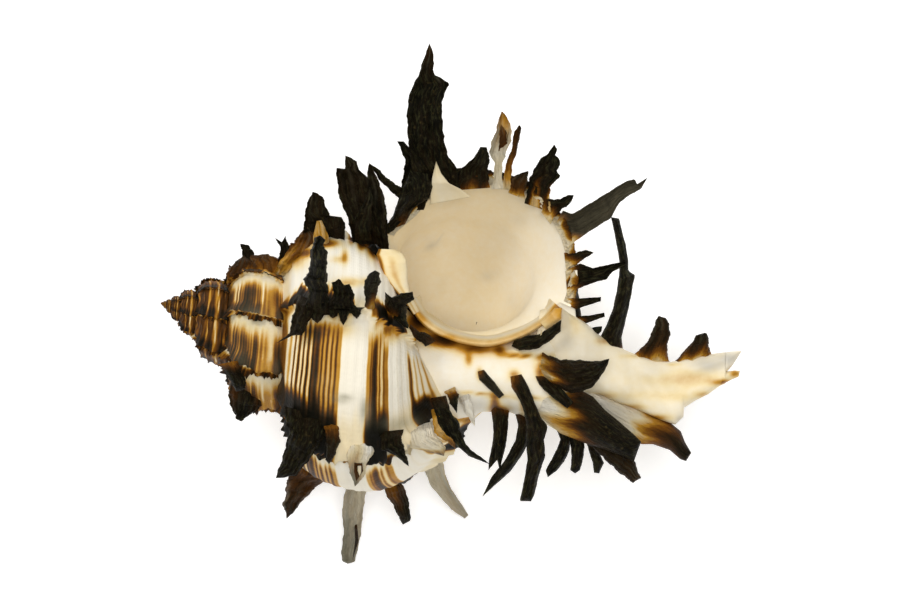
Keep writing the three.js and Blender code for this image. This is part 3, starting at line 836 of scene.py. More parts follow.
def put_fronds(name, fronds, sunk=1.6):
    """One piece from fronds, whose roots lie sunk under the heights given if they don't say how far."""
    grids = []
    for number, (left, right, up, (tone, worn, turn, flame), shape) in enumerate(fronds):
        seed = 7 * sum(ord(letter) for letter in name) + 17 * number
        points, at = leaf_surface(left, right, up, seed=seed, **{"sunk": sunk, **shape})
        share = at["share"] + flame * ripple(at["across"] * 1.8, at["share"] * 2, seed)
        streaky = 0.5 + 0.5 * ripple(at["across"] * 3.0, at["length"] * 0.5, seed + 9)
        # Grey on the rib crests: partly wear, partly a painted highlight that shows the ribs' relief.
        rib_wear_and_highlight = 0.5 * smooth(0.1, 0.9, at["rib"]) * smooth(0.3, 1.0, share) * streaky
        grids.append((points, {
            "shade": np.clip(np.interp(share, (0.0, turn, 1.0), tone), 0, 1),
            "across": at["across"],
            "length": at["length"],
            "worn": np.interp(share, (0.0, turn, 1.0), worn) + rib_wear_and_highlight,
            "number": 3.1 * number,
        }))
    put_grids(name, grids)


put_fronds("lip_fronds", [
    frond(((-9.8, 12.4), (-9.0, 15.0), (-8.0, 18.0)), ((-7.2, 13.4), (-5.8, 15.9), (-3.4, 17.4),
          (-2.9, 19.2), (-3.6, 21.2)), (-6.4, 21.6), (32.4, 33.4, 33.6), deep=0.9, tone=(0.5, 0.92, 1.0),
          turn=0.3, sunk=0.6, tear=0.1),
    frond(((-8.0, 15.4), (-7.9, 19.4), (-7.3, 23.0), (-7.8, 24.5)), ((-4.3, 15.6), (-3.0, 18.7),
          (-3.2, 21.4), (-4.3, 23.4), (-6.3, 25.0), (-7.3, 26.2)), (-8.4, 26.2), (31.2, 32, 31.5),
          deep=-1.6, tone=(0.8, 0.95, 1.0), thick=1.0),
    frond(((-5.6, 17.6), (-6.4, 22.5), (-6.9, 26.4), (-7.1, 30.7), (-6.7, 33.6), (-5.4, 36.1),
          (-4.3, 39.4)), ((1.4, 18.5), (1.0, 22.2), (-0.3, 23.7), (-1.0, 26.4), (-1.3, 30.1), (-1.3, 32.5),
          (-0.2, 35.1), (-1.3, 35.9), (-2.6, 36.4), (-2.6, 39.4)), (-3.4, 41.3),
          (31.5, 33.0, 33.5, 32.0, 31.0), deep=-2.2, tone=(0.9, 1.0, 0.62), turn=0.66, rough=1.5,
          thick=1.2),
    frond(((0.6, 18.6), (1.3, 22.0), (3.1, 23.4)), ((5.9, 19.0), (5.8, 21.7), (6.0, 23.9), (5.6, 25.3)),
          (4.4, 25.3), (31.6, 32.4, 32), deep=-1.2, tone=(0.3, 0.85, 1.0), turn=0.3, ribs=5.0, flame=0.16),
    frond(((6.1, 18.8), (6.5, 22.6), (5.6, 24.4), (5.9, 25.9), (6.7, 27.9), (7.1, 29.7)), ((7.9, 18.8),
          (7.9, 22.5), (8.8, 25.1), (9.4, 26.4), (9.3, 28.8), (8.2, 30.5)), (7.7, 30.8), (31.6, 32.6, 31.8),
          deep=-1.6, tone=(0.04, 0.16, 0.3), worn=(0.1, 0.85, 0.0), turn=0.5, rough=0.7, flame=0.2),
    frond(((7.2, 24.6), (7.2, 27.0)), ((8.6, 25.6), (8.6, 27.6)), (7.6, 28.8), (32.6, 32.8, 32.6),
          deep=-0.3, tone=(0.5, 0.62, 0.5), rough=0.5, thick=0.4),
    frond(((7.7, 18.8), (8.2, 22.7), (9.1, 24.8), (9.5, 27.7)), ((9.2, 18.6), (9.4, 22.4), (10.1, 24.4),
          (10.5, 26.5), (10.9, 28.2)), (10.4, 28.7), (31.4, 32.2, 31.6), deep=-0.9, tone=(0.06, 0.5, 0.66),
          turn=0.5, flame=0.2),
    frond(((8.7, 18.2), (9.0, 20.5), (10.2, 21.3)), ((11.3, 17.2), (11.8, 19.9), (11.9, 21.1)),
          (11.8, 21.6), (31.4, 32, 31.8), deep=-0.6, tone=(0.12, 0.6, 0.8), turn=0.4, flame=0.14),
    frond(((11.2, 16.6), (11.8, 20.5), (13.3, 23.3), (14.8, 24.5)), ((15.3, 15.2), (15.3, 19.0),
          (16.9, 20.8), (16.4, 21.6), (16.9, 22.7), (16.7, 23.6), (16.1, 24.0), (16.3, 25.0)), (15.8, 25.7),
          (31.4, 32.2, 31.6), deep=-1.5, tone=(0.2, 0.88, 1.0), turn=0.3, ribs=5.0, flame=0.16, rough=1.3),
    frond(((13.8, 15.2), (14.5, 17.4), (16.8, 17.4), (17.8, 18.0)), ((15.2, 13.4), (16.8, 15.3),
          (17.8, 16.0), (18.7, 17.0)), (18.8, 17.9), (31.2, 32, 31.6), deep=-0.9, tone=(0.12, 0.86, 1.0),
          turn=0.35, flame=0.14),
    frond(((16.2, 13.8), (17.1, 15.6), (18.5, 15.0), (22.8, 17.6), (26.8, 20.1), (28.2, 20.4),
          (28.5, 19.6)), ((17.8, 9.6), (19.0, 10.7), (22.5, 13.0), (24.5, 14.2), (25.9, 16.7), (27.3, 17.7),
          (29.2, 18.8)), (30.2, 20.6), (31.0, 32, 31.6), deep=-2.2, tone=(0.12, 0.8, 0.76), turn=0.2,
          ribs=7.0, tear=0.15, rough=0.9, flame=0.1, worn=(0.0, 0.5, 0.6)),
    frond(((17.3, 9.0), (19.3, 9.2), (20.8, 9.6)), ((17.6, 6.4), (19.8, 7.4), (20.8, 8.2)), (21.9, 9.0),
          (31, 31.8, 31.4), deep=-0.6, tone=(0.1, 0.8, 1.0), turn=0.45, flame=0.12),
    frond(((17.5, 6.2), (18.7, 6.9), (19.8, 7.4), (21.8, 6.7), (23.9, 7.2)), ((17.8, 2.2), (19.0, 3.3),
          (20.1, 3.6), (21.8, 4.3), (23.8, 4.8), (24.8, 6.0), (26.8, 7.1)), (26.8, 7.7), (31, 31.8, 31.0),
          deep=-1.2, tone=(0.1, 0.9, 1.0), turn=0.24, tear=0.15, flame=0.1),
    frond(((17.6, 2.0), (20.8, 2.1)), ((17.9, -0.2), (19.5, 0.3), (20.8, 0.8), (23.0, 1.5)), (23.0, 2.2),
          (31, 31.6, 31), deep=-0.6, tone=(0.1, 0.84, 1.0), turn=0.35, tear=0.15, flame=0.1),
    frond(((18.2, -0.8), (21.3, -0.6)), ((19.2, -2.6), (21.3, -1.7), (23.6, -0.9)), (23.5, -0.2),
          (31, 31.6, 31), deep=-0.5, tone=(0.1, 0.84, 1.0), turn=0.35, tear=0.15, flame=0.1),
    frond(((20.4, -3.0), (21.9, -2.4)), ((21.4, -4.6), (22.5, -3.7), (23.1, -3.1)), (23.2, -2.3),
          (32, 32.4, 32), deep=0.6, tone=(0.6, 0.95, 1.0), tear=0.1),
    frond(((22.2, -5.8), (22.8, -4.1), (23.9, -1.8), (24.7, 0.2), (25.3, 2.8), (25.7, 5.4), (25.8, 7.6),
          (25.3, 10.5), (24.8, 13.1)), ((26.4, -6.2), (26.2, -4.1), (26.8, -1.7), (27.5, 1.3), (27.9, 3.6),
          (28.3, 5.6), (27.3, 6.2), (27.2, 8.2), (26.8, 10.5), (26.1, 13.0), (25.9, 14.3)), (24.5, 14.5),
          (32, 32.5, 30, 28), deep=1.6, wrap=80.0, tone=(0.3, 0.92, 1.0), turn=0.12, tear=0.12, rough=0.7),
    frond(((27.5, -7.6), (28.1, -6.4), (29.6, -5.2), (30.5, -3.7), (31.3, -1.4)), ((33.8, -8.6),
          (33.3, -5.7), (33.8, -3.7), (33.7, -1.8), (33.0, -1.0)), (31.9, -0.7), (31.5, 32, 31.5), deep=0.9,
          tone=(0.16, 0.66, 0.9), turn=0.3, flame=0.12),
    frond(((33.4, -8.6), (35.2, -6.6), (36.5, -5.2), (37.5, -3.7)), ((40.3, -8.0), (39.8, -5.1),
          (39.6, -3.5)), (39.0, -3.3), (31.5, 32, 31.5), deep=0.9, tone=(0.06, 0.66, 0.9), turn=0.45,
          flame=0.16),
], sunk=0.4)

# The fronds of the ridge behind the mouth's left end, seen above the body whorl: broad black leaves
# with deep folds, grown out of an older lip. Two thin ones cross over to the mouth's edge.
put_fronds("top_ridge_fronds", [
    frond(((-27.2, 7.4), (-26.4, 9.4)), ((-24.4, 7.4), (-24.9, 10.0), (-25.5, 11.8), (-25.9, 10.5)),
          (-27.2, 11.3), (33, 33, 32), deep=-0.8, tone=(0.45, 0.9, 1.0)),
    frond(((-27.6, 5.8), (-26.6, 7.8), (-24.4, 10.6)), ((-24.0, 5.0), (-20.4, 8.6), (-20.2, 11.4)),
          (-22.4, 13.4), (35, 36, 35), deep=1.4, tone=(0.14, 0.42, 0.78), turn=0.5, flame=0.2, rough=1.5,
          ribs=6.0),
    frond(((-23.1, 11.4), (-22.9, 13.7), (-22.6, 16.2), (-22.1, 17.4)), ((-16.6, 10.4), (-16.1, 12.8),
          (-16.7, 14.5), (-18.6, 14.7), (-19.2, 16.2), (-19.7, 17.6), (-20.6, 18.2)), (-21.4, 18.4),
          (35.4, 35.2, 34), deep=-1.2, tone=(0.8, 0.88, 0.84), turn=0.2, rough=1.4, ribs=4.0, thick=1.1),
    frond(((-21.2, 8.6), (-21.4, 11.4)), ((-18.8, 9.0), (-18.9, 11.6), (-20.0, 14.0)), (-20.8, 13.9),
          (37.4, 37.6, 37.6), deep=0.6, tone=(0.14, 0.26, 0.22), turn=0.5, tear=0.1, thick=0.6, flame=0.2),
    frond(((-15.2, 10.4), (-16.3, 14.7), (-17.5, 17.4), (-17.8, 19.9), (-18.0, 22.2), (-17.4, 21.7),
          (-16.6, 21.7)), ((-10.6, 10.2), (-12.0, 17.1), (-13.0, 20.8), (-14.0, 21.7), (-14.4, 23.1),
          (-15.5, 23.7)), (-16.4, 24.0), (35.4, 35.6, 34, 33), deep=-1.8, tone=(0.84, 0.88, 0.8), turn=0.24,
          rough=1.6, ribs=4.0, flame=0.14, thick=1.1),
    frond(((-13.0, 11.4), (-13.8, 15.6), (-13.2, 18.7), (-13.2, 21.4)), ((-9.6, 8.6), (-9.7, 14.0),
          (-10.1, 17.1), (-10.9, 19.6), (-12.0, 22.0)), (-12.7, 22.8), (35.6, 36, 35, 34), deep=-1.4,
          tone=(0.8, 0.9, 0.9), turn=0.3, rough=1.5, flame=0.16),
    frond(((-14.9, 11.0), (-15.2, 14.2), (-13.2, 17.6)), ((-12.4, 10.8), (-12.2, 14.4), (-12.0, 17.4)),
          (-12.8, 19.6), (37.4, 37.6, 36.6), deep=-0.8, tone=(0.82, 0.92, 0.92), rough=1.2),
    frond(((-5.6, 18.8), (-8.0, 19.4), (-9.8, 20.5), (-11.0, 21.8)), ((-6.6, 15.6), (-8.0, 17.0),
          (-9.8, 18.7), (-11.3, 20.2)), (-12.7, 22.8), (31.5, 33, 34), deep=-0.9, tone=(0.9, 0.95, 0.95)),
    frond(((-11.6, 13.2), (-9.9, 13.8), (-8.6, 14.8)), ((-11.6, 11.4), (-9.6, 11.8), (-8.2, 13.0)),
          (-7.2, 14.6), (36, 34, 32), deep=-0.5, tone=(0.9, 0.95, 0.9)),
])

# The fronds of the ridge that faces the viewer: a row of short black leaves across the white whorl,
# grown out of an older lip, with taller ones that stand up from it.
put_fronds("front_ridge_fronds", [
    frond(((-19.2, 0.6), (-20.8, 0.2), (-22.0, -2.1), (-22.9, -3.8), (-24.4, -3.8)), ((-23.6, 2.6),
          (-24.3, 0.4), (-24.9, -1.5), (-25.0, -3.3)), (-27.1, -5.0), (51.0, 51.0, 48.0), deep=1.2,
          sunk=2.6, tone=(0.85, 0.9, 0.62), turn=0.5, rough=1.3),
    frond(((-19.6, -0.2), (-18.6, 2.3), (-18.6, 4.4)), ((-13.9, -0.4), (-14.7, 1.0), (-14.9, 3.0),
          (-15.4, 4.3), (-16.3, 3.7), (-17.0, 4.8)), (-17.4, 5.0), (50.8, 55, 56.5), deep=-1.2, sunk=2.0,
          tone=(0.98, 0.95, 0.9), turn=0.5, ribs=5.0, rough=1.3, tear=0.5),
    frond(((-22.4, 0.6), (-21.6, -1.4)), ((-18.6, 0.6), (-19.6, -1.0)), (-20.7, -1.9), (50.4, 50.4, 49.6),
          deep=0.4, tone=(0.98, 0.9, 0.6), turn=0.6),
    frond(((-19.8, 0.6), (-18.9, -0.8)), ((-16.9, 0.6), (-17.6, -0.8)), (-18.3, -1.1), (50.8, 50.6, 50.0),
          deep=0.4, tone=(0.98, 0.9, 0.6), turn=0.6),
    frond(((-18.0, 0.6), (-17.3, -1.3)), ((-15.2, 0.6), (-16.0, -1.3)), (-16.7, -2.2), (50.8, 50.6, 49.4),
          deep=0.4, tone=(0.98, 0.98, 0.95)),
    frond(((-16.2, 0.6), (-15.3, -0.7)), ((-13.4, 0.6), (-14.0, -0.5)), (-14.6, -1.2), (50.4, 50.2, 49.6),
          deep=0.4, tone=(0.98, 0.9, 0.6), turn=0.6),
    frond(((-22.8, -0.6), (-22.5, 1.7), (-22.3, 3.4), (-23.2, 5.0), (-22.2, 6.0), (-22.0, 9.1),
          (-21.4, 11.3)), ((-18.5, -0.6), (-18.8, 3.3), (-19.0, 7.3), (-18.8, 8.8), (-19.4, 10.0),
          (-19.3, 11.1)), (-20.3, 11.7), (50.4, 56, 62, 63.5), deep=2.0, wrap=80.0, tone=(0.9, 1.0, 1.0),
          rough=1.5, tear=0.5, thick=1.4),
    frond(((-13.4, 0.4), (-13.6, 2.6), (-13.7, 4.6), (-12.7, 5.9)), ((-11.9, 0.2), (-11.4, 2.6),
          (-10.8, 4.5), (-10.9, 5.9)), (-11.8, 6.3), (49.2, 55, 60), deep=1.6, wrap=80.0,
          tone=(0.25, 0.95, 1.0), turn=0.3, flame=0.1, rough=1.2),
    frond(((-10.6, 0.0), (-10.3, 3.0), (-9.5, 2.2), (-8.0, 2.8)), ((-8.6, -1.8), (-7.3, 0.2), (-6.6, 1.1),
          (-5.6, 1.8)), (-6.0, 3.0), (45.0, 50, 54.5), deep=1.2, sunk=2.2, tone=(0.12, 0.95, 1.0), turn=0.3,
          rough=1.4),
    frond(((-9.9, 0.8), (-8.9, -1.1), (-7.7, -2.4)), ((-6.6, 0.8), (-6.9, -0.9), (-6.5, -2.1)),
          (-6.7, -2.7), (43.6, 46.6, 46.4), deep=1.0, tone=(0.9, 0.98, 1.0), rough=1.2),
    frond(((-6.4, -2.0), (-5.0, -2.9), (-3.4, -3.4)), ((-6.8, -3.4), (-5.6, -4.4), (-4.0, -5.6)),
          (-2.4, -4.6), (42.4, 40.4, 37.2), deep=0.7, tone=(0.6, 0.8, 0.62), turn=0.5, flame=0.15),
])

# The fronds of the next ridge, along the lower edge of the whorl: black at the left, and further on
# worn down to grey and white shell.
put_fronds("low_ridge_fronds", [
    frond(((-25.8, -14.6), (-25.8, -16.2), (-25.7, -17.5), (-25.1, -18.1), (-26.3, -22.9), (-26.9, -24.5)),
          ((-18.2, -16.8), (-18.8, -18.4), (-20.0, -20.3), (-21.2, -22.2), (-22.4, -23.7), (-23.8, -25.4),
          (-25.8, -25.8)), (-27.1, -25.7), (45.6, 46.4, 44, 42), deep=1.8, tone=(0.85, 0.94, 0.94),
          turn=0.2, ribs=6.0, flame=0.14, rough=1.2),
    frond(((-20.0, -17.0), (-19.5, -20.1), (-19.5, -22.9)), ((-17.1, -16.6), (-17.0, -20.1),
          (-18.0, -22.5)), (-18.9, -23.6), (46.2, 46, 45), deep=1.0, tone=(0.36, 0.8, 0.92), turn=0.5,
          flame=0.14),
    frond(((-16.4, -18.6), (-16.3, -21.4), (-16.1, -23.7), (-15.7, -25.2)), ((-11.9, -18.6), (-11.8, -21.7),
          (-13.0, -23.7), (-13.2, -25.5)), (-14.9, -27.0), (42.2, 46.2, 46), deep=1.3,
          tone=(0.0, 0.16, 0.52), turn=0.46, worn=(0.0, 0.4, 0.9), flame=0.2, rough=0.45, sunk=2.4),
    frond(((-15.0, -23.0), (-15.1, -24.6)), ((-13.8, -23.0), (-13.6, -24.6)), (-14.7, -26.2),
          (47.6, 47.2, 46.8), deep=-0.3, tone=(0.7, 0.62, 0.6), thick=0.4, tear=0.1),
    frond(((-14.5, -23.6), (-14.5, -24.6)), ((-13.9, -23.6), (-13.9, -24.8)), (-14.2, -25.4),
          (48.0, 47.6, 47.2), deep=0.2, tone=(0.0, 0.05, 0.1), thick=0.3, tear=0.1),
    frond(((-11.2, -18.6), (-11.0, -21.4), (-8.7, -22.3), (-7.7, -23.2)), ((-7.4, -18.2), (-7.5, -19.8),
          (-7.2, -20.9), (-6.7, -22.6)), (-6.6, -23.9), (45.4, 46.0, 45), deep=1.2, tone=(0.8, 0.96, 1.0),
          turn=0.34, ribs=5.0, flame=0.14),
    frond(((-7.4, -17.6), (-6.4, -21.1), (-3.3, -21.8)), ((-3.0, -16.8), (-2.3, -19.1), (-0.8, -20.9)),
          (-1.2, -22.3), (39.6, 42.4, 41.5), deep=1.1, tone=(0.03, 0.07, 0.5), turn=0.6,
          worn=(0.0, 0.0, 0.6), flame=0.2, rough=0.35, sunk=2.6, tear=0.2),
    frond(((-3.2, -15.2), (-2.9, -18.8), (-1.5, -19.8)), ((-1.6, -14.6), (0.0, -18.0), (0.9, -19.6)),
          (0.6, -21.2), (40, 42, 41), deep=0.8, sunk=2.4, tone=(0.3, 0.22, 0.6), turn=0.5, ribs=6.0,
          flame=0.2),
    frond(((-3.4, -13.4), (-2.7, -15.5), (-2.6, -17.1), (-1.3, -19.1), (0.8, -20.9), (2.4, -22.3),
          (4.4, -23.1)), ((-0.9, -13.0), (0.0, -15.4), (1.3, -17.1), (2.0, -19.8), (3.1, -21.4),
          (4.5, -22.3)), (5.9, -23.6), (39.4, 42.4, 41, 38), deep=1.3, sunk=2.4, tone=(0.7, 0.98, 1.0),
          turn=0.12, rough=1.3),
    frond(((-1.2, -12.4), (-0.3, -14.4)), ((0.5, -11.6), (1.2, -12.8), (1.1, -13.9)), (0.8, -15.7),
          (38.6, 40, 40.4), deep=0.7, sunk=2.6, tone=(0.2, 0.9, 1.0), turn=0.4),
    frond(((1.0, -13.4), (1.8, -15.6)), ((2.8, -12.6), (3.6, -15.6)), (3.6, -17.8), (37, 38, 38), deep=0.5,
          tone=(0.0, 0.04, 0.5), turn=0.75, worn=(0.0, 0.2, 0.2), flame=0.2, rough=0.6),
])

# The fronds of the ridge under the whorl, seen past its lower edge, brown or worn to bare grey shell.
# The shell lies on the tips of two of them.
put_fronds("under_ridge_fronds", [
    frond(((-23.2, -20.6), (-25.2, -25.1), (-25.7, -26.0), (-25.8, -28.2), (-26.3, -29.9)), ((-16.6, -20.4),
          (-16.9, -26.6), (-19.4, -26.2), (-21.1, -27.5), (-22.6, -29.1), (-24.1, -30.9)), (-25.4, -32.0),
          (22, 18.4, 15.2, 12.8, 10.6), deep=1.6, tone=(0.2, 0.56, 0.74), turn=0.42, rough=1.5, flame=0.18,
          tear=0.5),
    frond(((-19.4, -20.6), (-18.8, -26.0)), ((-15.8, -20.6), (-16.2, -26.0)), (-17.2, -26.8),
          (24, 21.4, 19), deep=1.0, tone=(0.04, 0.18, 0.5), turn=0.6, flame=0.2),
    frond(((-16.8, -22.6), (-16.4, -27.1), (-16.8, -29.1), (-17.0, -31.4), (-16.7, -33.7), (-17.1, -37.1),
          (-17.0, -38.5)), ((-11.1, -22.2), (-11.5, -26.3), (-12.6, -26.8), (-13.2, -28.3), (-13.6, -31.4),
          (-13.9, -34.5), (-14.3, -36.3), (-14.8, -38.6)), (-16.0, -38.9), (21, 16.4, 12, 7.7, 3.5, 0.6),
          deep=1.8, tone=(0.0, 0.2, 0.56), turn=0.42, worn=(0.1, 0.8, 1.0), flame=0.12, rough=0.8,
          tear=0.2),
    frond(((-15.0, -32.4), (-14.9, -35.4)), ((-14.6, -32.4), (-14.3, -35.4)), (-15.3, -38.4),
          (9.4, 6.2, 2.8), deep=0.3, tone=(0.6, 0.75, 0.8), thick=0.3, tear=0.1),
    frond(((-12.0, -20.4), (-11.3, -23.8), (-11.1, -26.0), (-10.3, -28.3), (-9.2, -29.9), (-8.1, -32.2)),
          ((-6.6, -20.4), (-6.5, -24.5), (-5.7, -25.4), (-6.4, -26.2), (-7.6, -26.5), (-6.9, -27.5),
          (-6.5, -29.1), (-6.2, -30.9), (-6.2, -32.3)), (-7.5, -32.9), (24, 20.4, 16.8, 13.6, 11.4),
          deep=1.5, tone=(0.16, 0.34, 1.0), turn=0.44, ribs=7.0, rough=1.2, flame=0.08),
    frond(((-5.6, -20.6), (-4.5, -23.8), (-3.4, -26.8), (-1.9, -28.6), (-0.1, -30.6), (2.0, -32.0)),
          ((-2.3, -20.2), (-1.1, -23.7), (-0.9, -25.2), (0.1, -27.5), (1.4, -29.4)), (2.6, -31.4),
          (22, 17, 12, 6.4, 0.6), deep=1.6, tone=(0.0, 0.16, 0.34), turn=0.5, worn=(0.1, 0.7, 0.9),
          rough=0.8, flame=0.2, tear=0.15),
])

# The fronds of the ridge at the back, out of sight: the same folded leaves, standing straight out of
# the wall along the ridge. Each is given by its sides along the axis, its root and its tip, how many
# degrees it leans on, and how worn it is. The shell lies on the tips of two of these as well.
BACK_FRONDS = (
    ((26.0, 31.0), (31.4, 17.6), (24.0, 29.0), 4, 0.0), ((30.0, 35.0), (34.0, 23.6), (28.0, 38.6), 9, 0.0),
    ((35.0, 39.0), (38.0, 26.8), (37.0, 31.4), 2, 0.0), ((40.0, 44.6), (43.6, 28.0), (44.0, 36.6), 3, 0.0),
    ((46.0, 49.6), (49.6, 27.8), (53.0, 31.0), 6, 0.8), ((52.0, 55.2), (55.6, 25.0), (62.0, 26.0), 4, 0.0),
    ((56.2, 59.0), (60.4, 19.6), (65.0, 18.0), 2, 0.0),
)


def upright_leaf(turn, sides, root, tip, lean, seed):
    """A folded leaf that stands out from the coil at a turn: its width runs along the axis between two
    sides, it rises from root to tip (along, out) and leans on by some degrees, with its hollow ahead."""
    size = growth(turn)
    share = np.linspace(0, 1, LEAF_ROWS)[:, None]
    fold = np.linspace(-1, 1, LEAF_COLS)[None, :]
    taper = 1 - 0.82 * share**1.3
    half = 0.5 * (sides[1] - sides[0]) * taper * (1 - 0.3 * torn(share * 14, seed))
    along = root[0] + (tip[0] - root[0]) * share + half * np.sin(fold * 1.2)
    out = root[1] + (tip[1] - root[1]) * share
    back = half * (1.1 - np.cos(fold * 1.2)) * 1.2 + 0.2 * ripple(share * 9, fold * 3, seed)
    wall = 0.7 * taper + 0.25
    turns = turn + lean * share + np.degrees(back / out)
    outer = from_coil(size * along, size * out + 0 * along, turns - np.degrees(wall / out))
    inner = from_coil(size * along, size * out + 0 * along, turns)
    points = np.concatenate([outer, inner[:, ::-1]], axis=1)
    return points, both_skins({
        "across": size * half * fold,
        "length": 14 * size * share + 0 * fold,
        "share": share + 0 * fold,
    })


back_grids = []
for number, (sides, root, tip, lean, worn) in enumerate(BACK_FRONDS):
    points, at = upright_leaf(BODY_RIDGES[1], sides, root, tip, lean, 40 + number)
    tone = (0.1, 0.4, 0.6) if worn else (0.5, 0.9, 1.0)
    back_grids.append((points, {
        "shade": np.interp(at["share"], (0, 0.22, 1), tone),
        "across": at["across"],
        "length": at["length"],
        "worn": worn,
        "number": 3.1 * number,
    }))
put_grids("back_ridge_fronds", back_grids)

# The ridges' crests: the ragged flange that stands along each older lip, leaning the way the coil
# grew. Thin, ribbed shell, amber at its foot and dark at its torn edge, pale on the white bands.
CREST_LINE = WHORL_OUTLINE[1:8]
CREST_PLACES, CREST_STEPS = 130, 13
CREST_RIB_PITCH = 1.5
CREST_WALL = 0.45
SPIRE_CRESTS = 14


def crest(turn, height, lead, first, last, dark, seed):
    """Grid and marks of a flange on the ridge at a turn: from the foot on the wall it rises by height
    and runs on by lead, both in millimetres at the lip's size, with a torn edge; back down on its
    inner side it is a little behind. Its dark is that of the bands where none is given."""
    size = growth(turn)
    line = through(CREST_LINE, np.linspace(first, last, CREST_PLACES))
    run = np.gradient(line, axis=0)
    run = run / np.linalg.norm(run, axis=1)[:, None]
    normal = np.stack([-run[:, 1], run[:, 0]], axis=1)
    length = lengths_along(line)[:, None]
    share = np.concatenate([np.linspace(0, 1, CREST_STEPS), np.linspace(1, 0, CREST_STEPS)])[None, :]
    inner = np.repeat([0.0, 1.0], CREST_STEPS)[None, :]
    blocks = 0.62 + 0.38 * smooth(-0.2, 0.3, ripple(length * 0.9, 0, seed))
    tooth = blocks - 0.30 * torn(length, seed + 1)
    ribs = 0.30 * np.cos(length * 2 * np.pi / CREST_RIB_PITCH + ripple(length * 0.7, 0, seed + 2)) * share
    lift = height * tooth * share**0.8 + ribs - CREST_WALL * inner
    on = lead * tooth * share**1.3 - 0.25 * inner - 1.0 * (1 - share)
    band = line[:, :1]
    along = band + normal[:, :1] * lift
    out = line[:, 1:] + normal[:, 1:] * lift
    points = from_coil(size * along, size * out, turn + np.degrees(on / out))
    black = dark_bands(band) if dark is None else dark
    black = np.clip(black + 0.25 * ripple(length * 1.1, 0, seed + 4), 0.12, 1)
    return points, {
        "shade": black * (0.06 + 0.94 * smooth(0.10, 0.60, share)) * (0.86 + 0.14 * ripple(length * 3, 0, 3)),
        "across": 2 * length * size,
        "length": height * share * size,
        "worn": 0.0,
        "number": turn / 7.0,
    }


crest_grids = [
    crest(BODY_RIDGES[1], 2.2, 2.0, 0.3, 5.4, None, 1),
    crest(BODY_RIDGES[2], 2.2, 2.0, 0.3, 5.4, None, 2),
    crest(BODY_RIDGES[3], 1.6, 2.4, 0.3, 5.4, None, 3),
    crest(BODY_RIDGES[5], 3.0, 2.0, 0.0, 2.0, 0.5, 4),
]
for number, turn in enumerate(BODY_RIDGES[6:]):
    crest_grids.append(crest(turn, 4.4, 4.2, 0.0, 4.2, 0.66, 10 + number))
for number, turn in enumerate(later_ridges[:SPIRE_CRESTS]):
    crest_grids.append(crest(turn, 5.4, 3.4, 0.0, 4.2, 0.62, 30 + number))
put_grids("ridge_crests", crest_grids)

# The spire's fronds: short leaves, amber at the root and nearly black at the tip, which older lips
# left on the lower turns of the spire, above and under it in the photograph.
put_fronds("spire_fronds", [
    frond(((-33.0, 6.2), (-32.4, 8.4)), ((-28.8, 6.8), (-30.2, 8.8), (-31.1, 10.3)), (-32.6, 10.4),
          (33, 32, 31.5), deep=-0.8, tone=(0.5, 0.86, 0.94), rough=1.2),
    frond(((-34.6, 4.4), (-34.9, 5.6), (-34.3, 6.8), (-33.2, 7.8)), ((-31.6, 4.8), (-30.6, 6.4),
          (-30.8, 7.8)), (-32.0, 8.6), (35, 34, 32.5), deep=1.0, tone=(0.16, 0.6, 0.74), turn=0.35,
          ribs=5.0, flame=0.2),
    frond(((-33.2, 4.6), (-32.0, 6.4)), ((-25.6, 4.6), (-26.6, 8.6), (-28.0, 9.0)), (-31.0, 8.6),
          (35, 34, 32.5), deep=0.9, tone=(0.14, 0.5, 0.6), turn=0.4, ribs=7.0, flame=0.2, tear=0.8),
    frond(((-31.8, -4.6), (-33.4, -9.2), (-34.8, -12.8), (-33.6, -16.6)), ((-27.4, -6.0), (-28.0, -10.0),
          (-28.8, -14.6), (-31.6, -16.6)), (-32.4, -17.0), (38, 36, 34, 33), deep=1.2,
          tone=(0.18, 0.7, 0.96), turn=0.45, ribs=6.0, flame=0.16, tear=0.6),
    frond(((-36.0, -8.2), (-34.4, -10.6)), ((-33.0, -7.6), (-31.6, -10.4), (-31.4, -12.0)), (-33.2, -12.4),
          (42, 41, 39.5), deep=0.8, tone=(0.4, 0.92, 1.0), turn=0.3, tear=0.4),
])


# The pillar: the column that the whorls turn about, smooth and solid, between the body whorl and the
# canal. Pale shell with brown stains, most of them under the inner lip.
def between(upper, lower, up, high, low, rows=120, cols=64, trough=0.0, square=1.0, seed=0):
    """Closed rings between two edges as the camera sees them. The section is an oval that stands high
    above the line up and low below it, flattened by square; its top can sink to a trough."""
    share, middle, half, across, length = both_edges(upper, lower, rows)
    angle = np.linspace(0, 2 * np.pi, cols, endpoint=False)[None, :]
    side, top = np.cos(angle), np.sin(angle)
    place = middle[:, None, :] + (half[:, None] * side)[..., None] * across[:, None, :]
    ends = np.linspace(0, 1, len(up))
    rise = np.interp(share, ends, high)[:, None] * np.abs(top) ** square
    fall = np.interp(share, ends, low)[:, None] * np.abs(top) ** square
    dip = trough * swell(0.5, 0, side) * (top > 0)
    unevenness = 0.10 * ripple(length[:, None] * 0.7, side * 3, seed) * (top > 0)
    heights = np.interp(share, ends, up)[:, None] + np.where(top > 0, rise, -fall) - dip + unevenness
    return seen(place, heights), share[:, None] + 0 * side, half[:, None] * side, length[:, None] + 0 * side


def put_solid(name, edges, shape, shade, material, grey=()):
    """A closed solid between two edges; shade takes points, the share of the length and the side."""
    points, share, across, length = between(*edges, **shape)
    marks = {
        "shade": np.clip(shade(points, share, across), 0, 1),
        "grey": blots(points, grey),
        "across": across,
        "length": length,
        "worn": 0.0,
        "number": 0.0,
    }
    put_tube(name, points, marks, [material])


def stained(plain, amount=0.0, spots=()):
    """A shade for put_solid that is even but for some spots."""
    return lambda points, share, across: plain + amount * blots(points, spots)


